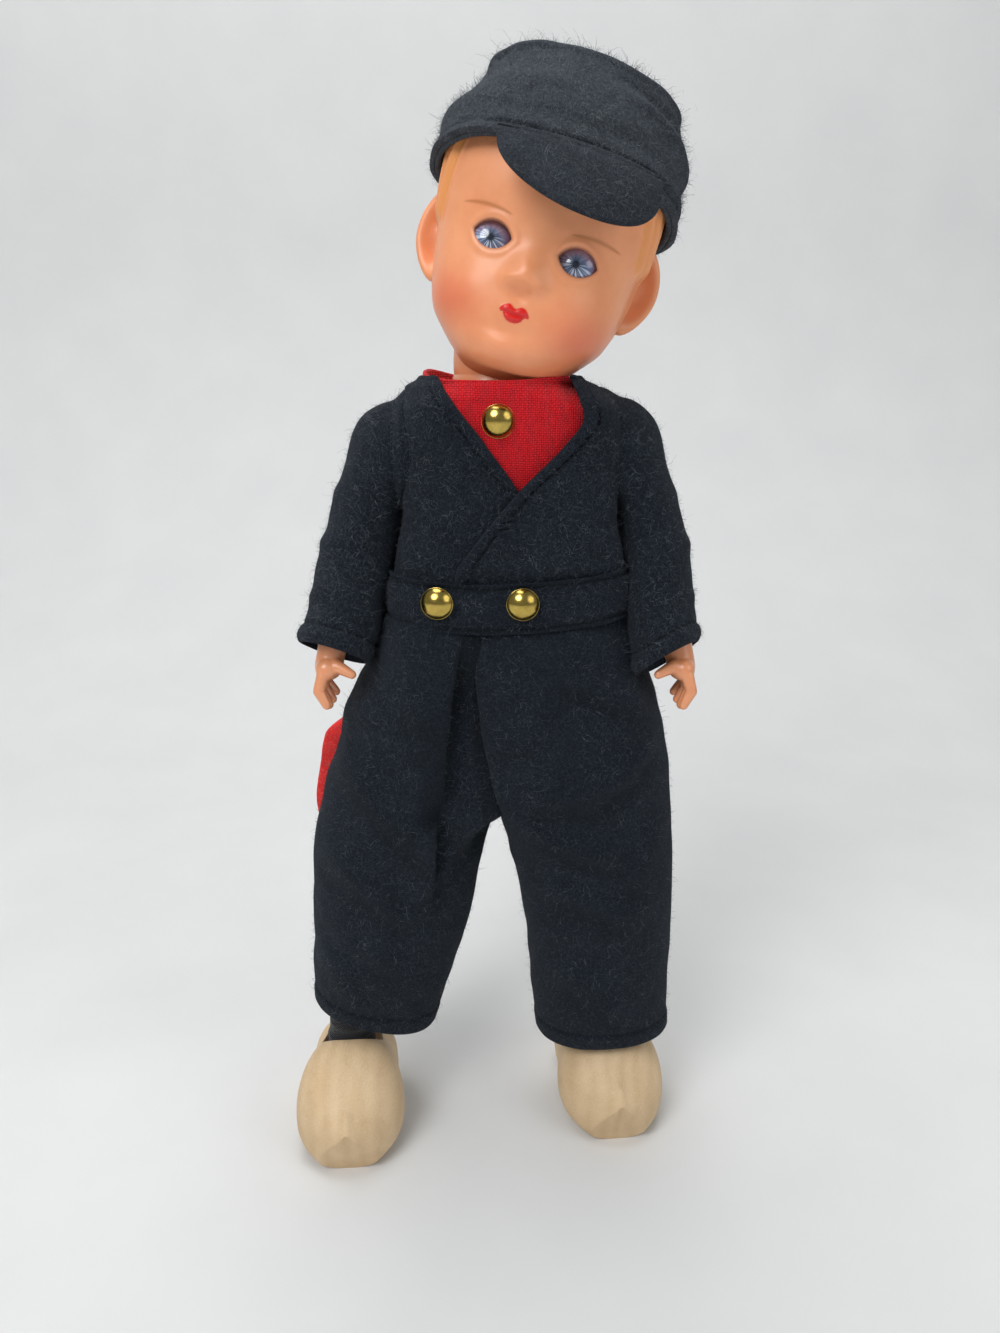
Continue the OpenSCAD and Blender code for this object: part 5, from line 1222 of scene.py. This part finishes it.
def sleeve(side, width):
    t = circle(150)
    grids = []
    for out in (0, -FELT):
        w = SLEEVE_HEAD + out
        head_ring = limb((SLEEVE_FACE, 0, SHOULDER_Z), w, w, 1, 0, -90, t)
        head_ring[:, 2] -= np.maximum(0, head_ring[:, 2] - SHOULDER_Z) * 0.03
        seam_ring = head_ring.copy()
        seam_ring[:, 2] += np.maximum(0, head_ring[:, 2] - SHOULDER_Z) * 0.16
        reach = jacket_side(seam_ring[:, 1], seam_ring[:, 2], side)
        seam_ring[:, 0] = np.minimum(reach - 0.7, SLEEVE_FACE - 0.8)
        rings = [seam_ring, head_ring]
        rings += [sleeve_ring(r, width, out, 0, t, side) for r in SLEEVE_SHARES]
        grids.append(loft(rings, 110))
    outer, inner = grids
    s = np.linspace(0, 1, 110)[:, None]
    u = signed(t)[None, :]
    rise = 0.5 * ripple(outer, 60 + side, 13) * ease(s / 0.15) * ease((1 - s) / 0.1)
    for drop, lean, amount in SLEEVE_FOLDS:
        fold = hump(s - drop, lean * np.sin(np.radians(u)), 0.035)
        rise = rise + amount * fold * (0.4 + 0.6 * np.cos(np.radians(u - 60 * side)) ** 2)
    seam = 0.55 * hump(s, 0.035, 0.02) - 0.5 * hump(s, 0.075, 0.02)
    rise = rise + seam - 0.4 * hump(np.abs(u), 90, 2) * (u < 0)
    outer, inner = mirrored(side, outer + rise[..., None] * outward(outer), inner)
    name = SIDES[side]
    # Bodies and places at the armhole that the sleeve is given with; hold leaves it where it is drawn
    start = np.array([side * 24.0, 0, SHOULDER_Z])
    carried = ("torso", name + "_arm", start, start + (side * 1.5, 0, -0.3))
    felted(name + "_sleeve", outer, inner, carried, (4200, 2.0, 62 + side))


# Cuff: share along it, outer and inner swell in felt thicknesses
CUFF_SHARES = [(0, -0.3, 0.9), (0.2, 0.1, 1), (0.45, 0.35, 1), (0.75, 0.35, 1), (1, -0.1, 0.8)]
CUFF_L = 5


def cuff(side, width):
    t = circle(150)
    way = np.array([0.3 if side < 0 else 0.1, -0.36, -0.89])
    rings = ([], [])
    for h, o, i in CUFF_SHARES:
        for row, out in zip(rings, (o * FELT, -i * FELT)):
            row.append(sleeve_ring(SLEEVE_SHARES[5], width, out, way * (0.05 + h * CUFF_L), t, side))
    outer, inner = (loft(row, 26) for row in rings)
    middle = outer.mean(axis=1, keepdims=True)
    s = np.linspace(0, 1, 26)[:, None]
    wave = (0.2 * np.sin(np.radians(3 * t)) + 0.12 * np.sin(np.radians(7 * t + 30)))[None, :]
    stitch = 0.35 * hump(s, 0.2, 0.06) * stitches(t, 40)[None, :]
    outer = outer + (wave * s - stitch)[..., None] * unit(outer - middle)
    inner = inner + (0.9 * wave * s)[..., None] * unit(inner - middle)
    outer, inner = mirrored(side, outer, inner)
    name = SIDES[side]
    seam = on_shell(hump(s, 0.14, 0.08) + 0 * t[None, :])
    felted(name + "_cuff", outer, inner, name + "_arm", (700, 1.5, 66 + side), paint={"seam": seam})


# Arms: sideways share of the reach, drop share, radius share, splay, forward share
ARM_SHARES = [
    (0.17, 0.01, 1.6, -84, 0), (0.34, 0.07, 1.32, -70, 0), (0.53, 0.21, 1.1, -46, 0), (0.68, 0.4, 1.02, -26, 0.08),
    (0.79, 0.62, 0.96, -14, 0.3), (0.9, 0.84, 0.86, -12, 0.56), (0.97, 1, 0.74, -14, 0.8),
]
ARM_FACE, ARM_R = 24.3, 5.3


# Fingers: shift along the palm, length share, curl
FINGERS = [(-4.1, 0.95, 1.0), (-1.3, 1.06, 1.1), (1.5, 1.0, 1.25), (4.1, 0.85, 1.4)]


def capsule(a, b, ra, rb):
    """A rod with round ends, as points and faces."""
    a, b = np.asarray(a, float), np.asarray(b, float)
    d = unit(b - a)
    side = unit(np.cross(d, (0.3, 0.9, 0.2)))
    third = np.cross(d, side)
    t = np.linspace(0, 2 * math.pi, 20, endpoint=False)[:, None]
    around = np.cos(t) * side + np.sin(t) * third
    rows = []
    for end, r, turns in ((a, ra, np.linspace(-1.5, 0, 6)), (b, rb, np.linspace(0, 1.5, 6))):
        rows += [end + d * r * math.sin(g) + around * r * math.cos(g) for g in turns]
    return solid(np.stack(rows))


def hand(reach):
    """A moulded hand: palm, four curled fingers and a thumb, melted together."""
    x = ARM_FACE + 0.97 * reach
    y = -HAND_FORWARD
    parts = [capsule((x + 0.2, y + 0.6, 145.0), (x + 1.6, y - 1.0, 138.2), 3.7, 3.5)]
    parts.append(capsule((x + 1.6, y + 2.2, 138.6), (x + 1.6, y - 3.6, 138.2), 3.1, 2.9))
    for shift, long, curl in FINGERS:
        base = np.array([x + 2.5, y - 1.0 + shift, 136.9])
        knuckle = base + (1.0 * long, 0.1 * shift - 0.4, -3.9 * long)
        tip = knuckle + (-1.9 * curl, 0.05 * shift - 0.5, -3.6 * long)
        parts += [capsule(base, knuckle, 1.62, 1.5), capsule(knuckle, tip, 1.5, 1.15)]
    thumb = np.array([x - 1.2, y - 4.2, 139.0])
    parts.append(capsule(thumb + (2.6, 2.0, 0.6), thumb, 2.0, 1.7))
    parts.append(capsule(thumb, thumb + (-3.6, -1.3, -1.6), 1.7, 1.15))
    points, faces = joined(parts)
    # Melted in centimetres
    mesh = new_mesh("hand_form", points / 10, faces)
    form = add("hand_form", mesh)
    melt = form.modifiers.new("melt", "REMESH")
    melt.mode, melt.voxel_size = "VOXEL", 0.032
    soften = form.modifiers.new("soften", "SMOOTH")
    soften.factor, soften.iterations = 0.5, 5
    done = form.evaluated_get(bpy.context.evaluated_depsgraph_get()).to_mesh()
    points = np.array([v.co for v in done.vertices]) * 10
    faces = np.array([list(f.vertices) for f in done.polygons if len(f.vertices) == 4])
    bpy.data.objects.remove(form)
    bpy.data.meshes.remove(mesh)
    return points, faces


def arm(side, reach):
    t = circle(48)
    rings = [limb((ARM_FACE, 0, SHOULDER_Z), 8.6, 8.6, 1, 0, -90, t)]
    for u, drop, r, splay, ahead in ARM_SHARES:
        c = (ARM_FACE + u * reach, -ahead * HAND_FORWARD, SHOULDER_Z - drop * ARM_DROP)
        rings.append(limb(c, r * ARM_R, r * ARM_R, 1, 0, splay, t))
    points, faces = joined([solid(loft(rings, 50)), hand(reach)])
    name = SIDES[side] + "_arm"
    piece(name + "_form", (points * (side, 1, 1), faces), SKIN, "skin", name, (name,))


# Legs, stockings and clogs
FOOT_SHARES = [
    (0.02, 1.5, 1.15, 1.15, -22), (0.1, 1.12, 1.2, 1.2, -52), (0.22, 0.95, 1.25, 1.02, -78),
    (0.36, 0.86, 1.25, 0.92, -90), (0.47, 0.82, 1.0, 0.76, -90),
]
CLOG_L, CLOG_W, CLOG_H, SOLE_Z, ANKLE_R = 50.0, 30.0, 26.5, 11.0, 5.6
ANKLE_Z = 2.4 * SOLE_Z
THIGH_R = 10.4
THIGH = np.array([13.3 + 0.85 * THIGH_R, 0, HIP_Z - 1.3 * THIGH_R])


def foot_rings(x, y, toe, out, t):
    rings = [limb((x, y, ANKLE_Z), ANKLE_R + out, ANKLE_R + out, 1, 0, 0, t)]
    for ahead, rise, w, d, pitch in FOOT_SHARES:
        back = -ahead * CLOG_L - out * float(ease((ahead - 0.36) / 0.11))
        w, d = w * ANKLE_R + out, d * ANKLE_R + out
        p = limb((0, 0, 0), w, d, 0.9, pitch, 0, t) + (0, back, rise * SOLE_Z)
        rings.append(p @ turn_z(toe).T + (x, y, 0))
    return rings


def stocking(side, x, y, toe):
    t = circle(64)
    lean = math.degrees(math.atan((x - THIGH[0]) / (ANKLE_Z - THIGH[2])))
    grids = []
    for out in (0.85, 0.05):
        rings = []
        for s, r in ((0.66, 0.72), (0.84, 0.63)):
            c = mix(THIGH, np.array([x, y, ANKLE_Z]), s)
            rings.append(limb(c, r * THIGH_R + out, r * THIGH_R + out, 1, 0, lean, t))
        grids.append(loft(rings + foot_rings(x, y, toe, out, t), 90))
    outer, inner = grids
    s = np.linspace(0, 1, 90)[:, None]
    slack = 0.4 * np.sin(90 * s + np.sin(np.radians(t))[None, :] * 1.5) * ease(s / 0.05) * ease((0.55 - s) / 0.1)
    outer = outer + np.maximum(slack, 0)[..., None] * outward(outer)
    name = SIDES[side]
    form = shell(*mirrored(side, outer, inner), closed=True)
    piece(name + "_stocking_knit", form, STOCKING, "stocking", name + "_leg", (name + "_stocking",))


# Clogs: forward share, half-width share, top share, underside share
CLOG_SHARES = [
    (0, 0.3, 0.6, 0.12), (0.03, 0.55, 0.72, 0.03), (0.1, 0.76, 0.79, -0.02), (0.22, 0.84, 0.8, -0.02),
    (0.36, 0.86, 0.9, -0.02), (0.48, 0.92, 1.02, -0.02), (0.58, 0.98, 1.05, -0.02), (0.68, 1, 1.01, -0.02),
    (0.78, 0.94, 0.91, -0.02), (0.85, 0.82, 0.8, -0.01), (0.91, 0.64, 0.69, 0.0), (0.96, 0.42, 0.6, 0.02),
    (1, 0.14, 0.53, 0.16),
]


# Opening of a clog: height and growth of the cutting form's rings
OPENING_ROWS = [(9.9, -1.2), (10.6, -0.3), (13, 0), (18, 0.2), (21, 0.5), (40, 3.0)]
HEEL_SHARE = 0.39


def cut(obj, points, faces):
    """Takes a closed form out of a piece."""
    mesh = new_mesh("cut", at(points), faces)
    weld(mesh)
    tool = add("cut", mesh)
    hole = obj.modifiers.new("hole", "BOOLEAN")
    hole.operation, hole.object, hole.solver = "DIFFERENCE", tool, "EXACT"
    done = bpy.data.meshes.new_from_object(obj.evaluated_get(bpy.context.evaluated_depsgraph_get()))
    obj.modifiers.clear()
    obj.data = done
    bpy.data.objects.remove(tool)


def clog(side, x, y, toe):
    t = circle(120)[None, :]
    runs = ((0, 0.1, 14), (0.115, 0.84, 60), (0.848, 1, 34))
    s = np.concatenate([np.linspace(*run) for run in runs])[:, None]
    half, top, low = (curve(CLOG_SHARES, s, k) for k in (1, 2, 3))
    half, top, low = half * CLOG_W / 2, top * CLOG_H, low * CLOG_H
    middle = mix(low, top, 0.4)
    k = np.cos(np.radians(t))
    under = mix(0.55, 0.85, ease((s - 0.5) / 0.4))
    z = middle + np.where(k > 0, (top - middle) * spow(k, 0.95), (middle - low) * spow(k, under))
    p = stacked(-half * spow(np.sin(np.radians(t)), 0.8), (HEEL_SHARE - s) * CLOG_L, z)
    # Small nub on the toe, and the flat cut below it
    nub = np.exp(-((p[..., 0] / 1.5) ** 2) - ((s - 0.95) / 0.045) ** 2) * (k > 0)
    p[..., 2] += 1.6 * nub
    toe_y = CLOG_L * (HEEL_SHARE - 0.9 - 0.1 * np.clip(p[..., 2] / (0.5 * CLOG_H), 0, 1.4))
    p[..., 1] = np.maximum(p[..., 1], toe_y)
    p[..., 2] = np.maximum(p[..., 2], 0)
    points, faces = solid(p)
    spot = np.array([x, y, 0])
    way = np.array([side, 1, 1])
    points = (points @ turn_z(toe).T + spot) * way
    name = SIDES[side]
    made = piece(name + "_clog_wood", (points, faces), WOOD, "clog_wood", name + "_leg", (name + "_clog",))
    # The opening and the room for the foot
    t = circle(72)
    rings = []
    for z, grow in OPENING_ROWS:
        p = level(0, z, 8.2 + grow, 6.9 + 0.6 * grow, 16.2 + grow, 0.9, t)
        rings.append(p @ turn_z(toe).T + spot)
    foot = foot_rings(x, y, toe, 0.75, t)
    for rows in (np.stack(rings), loft([foot[0] + (0, 0, 6), *foot], 40)):
        points, faces = solid(rows)
        cut(made, points * way, faces)
    smooth(made.data)
    made.data.set_sharp_from_angle(angle=math.radians(38))


# Both sides' sleeve widths, arm reaches, and places and turns of the feet
SLEEVE_W = {-1: 16.4, 1: 15.0}
ARM_REACH = {-1: 19.6, 1: 18.0}
FEET = {-1: (45.0, -4.0, -4), 1: (28.6, 7.0, 6)}

head()
for way in SIDES:
    eyeball(way)
cap_crown()
cap_band()
cap_peak()
jacket_front(-1, RIGHT_LAPEL, 0, "jacket_right_front", 21)
jacket_front(1, LEFT_LAPEL, 1, "jacket_left_front", 22)
jacket_back()
dickey()
collar()
waistband()
trousers(-1, hem_out=55.4, hem_in=20.9, hem_z=33.4, hem_rise=8.4, hip_out=45.0)
trousers(1, hem_out=46.4, hem_in=8.8, hem_z=27.6, hem_rise=1.7, hip_out=42.0)
handkerchief()
for make in (sleeve, cuff):
    for side, width in SLEEVE_W.items():
        make(side, width)
for side, reach in ARM_REACH.items():
    arm(side, reach)
for make in (stocking, clog):
    for side, foot in FEET.items():
        make(side, *foot)
for name, heading, tip in (("collar_stud", 0, 6), ("right_waist_stud", -9, 0), ("left_waist_stud", 2, 0)):
    low, high = (1000 * np.array(c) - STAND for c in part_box(name))
    stud(name, np.array([(low[0] + high[0]) / 2, high[1] - 0.15, (low[2] + high[2]) / 2]), heading, tip)


# Floor, light and camera
def sweep():
    """A pale sheet that bends up behind the doll."""
    rows = [(-1400, 0), (-600, 0), (0, 0), (250, 0)]
    rows += [(250 + 320 * math.sin(g), 320 * (1 - math.cos(g))) for g in np.linspace(0.1, math.pi / 2, 20)]
    rows += [(570, 700), (570, 1800)]
    points = [(x / 1000, y / 1000, z / 1000) for y, z in rows for x in (-1600, 1600)]
    mesh = new_mesh("floor", points, [(2 * i, 2 * i + 1, 2 * i + 3, 2 * i + 2) for i in range(len(rows) - 1)])
    smooth(mesh)
    look, tree, shader = surface("paper", Roughness=0.9, Specular_IOR_Level=0.1)
    grain = noise(tree, place(tree), 0.02, 3, 0.5)
    feed(shader, Base_Color=ramp(tree, grain, [(0.3, (0.70, 0.705, 0.705)), (0.7, (0.73, 0.735, 0.73))]))
    mesh.materials.append(look)
    obj = add("floor", mesh)


def lamp(name, spot, aim, size, power):
    data = bpy.data.lights.new(name, "AREA")
    data.shape, data.size, data.energy = "DISK", size, power
    obj = add(name, data)
    obj.location = spot
    way = np.array(aim, float) - np.array(spot, float)
    flat = math.hypot(way[0], way[1])
    obj.rotation_euler = (math.pi / 2 + math.atan2(way[2], flat), 0, math.atan2(-way[0], way[1]))


sweep()
lamp("key", (-0.42, -0.68, 0.84), (0, 0, 0.14), 0.6, 6.4)
lamp("fill", (0.8, -0.5, 0.6), (0, 0, 0.14), 0.7, 2.1)
lamp("top", (-0.1, 0.1, 1.2), (0, 0, 0.1), 0.8, 6.4)
world = bpy.data.worlds.new("studio")
world.use_nodes = True
background = world.node_tree.nodes["Background"]
background.inputs["Color"].default_value = (0.92, 0.96, 1.0, 1)
background.inputs["Strength"].default_value = 0.24
bpy.context.scene.world = world
bpy.context.scene.view_settings.view_transform = "Standard"

# The photo's camera: focal length and long side in pixels, then place in millimetres and tilt in degrees
FOCAL, PHOTO_H, SENSOR = 1001.7, 1333, 36
CAMERA_AT, CAMERA_TILT = (-2.04, -255, 207.3), 74
data = bpy.data.cameras.new("camera")
data.sensor_width, data.lens = SENSOR, SENSOR * FOCAL / PHOTO_H
data.clip_start = 0.01
camera = add("camera", data)
camera.location = at(CAMERA_AT)
camera.rotation_euler = (math.radians(CAMERA_TILT), 0, 0)
bpy.context.scene.camera = camera
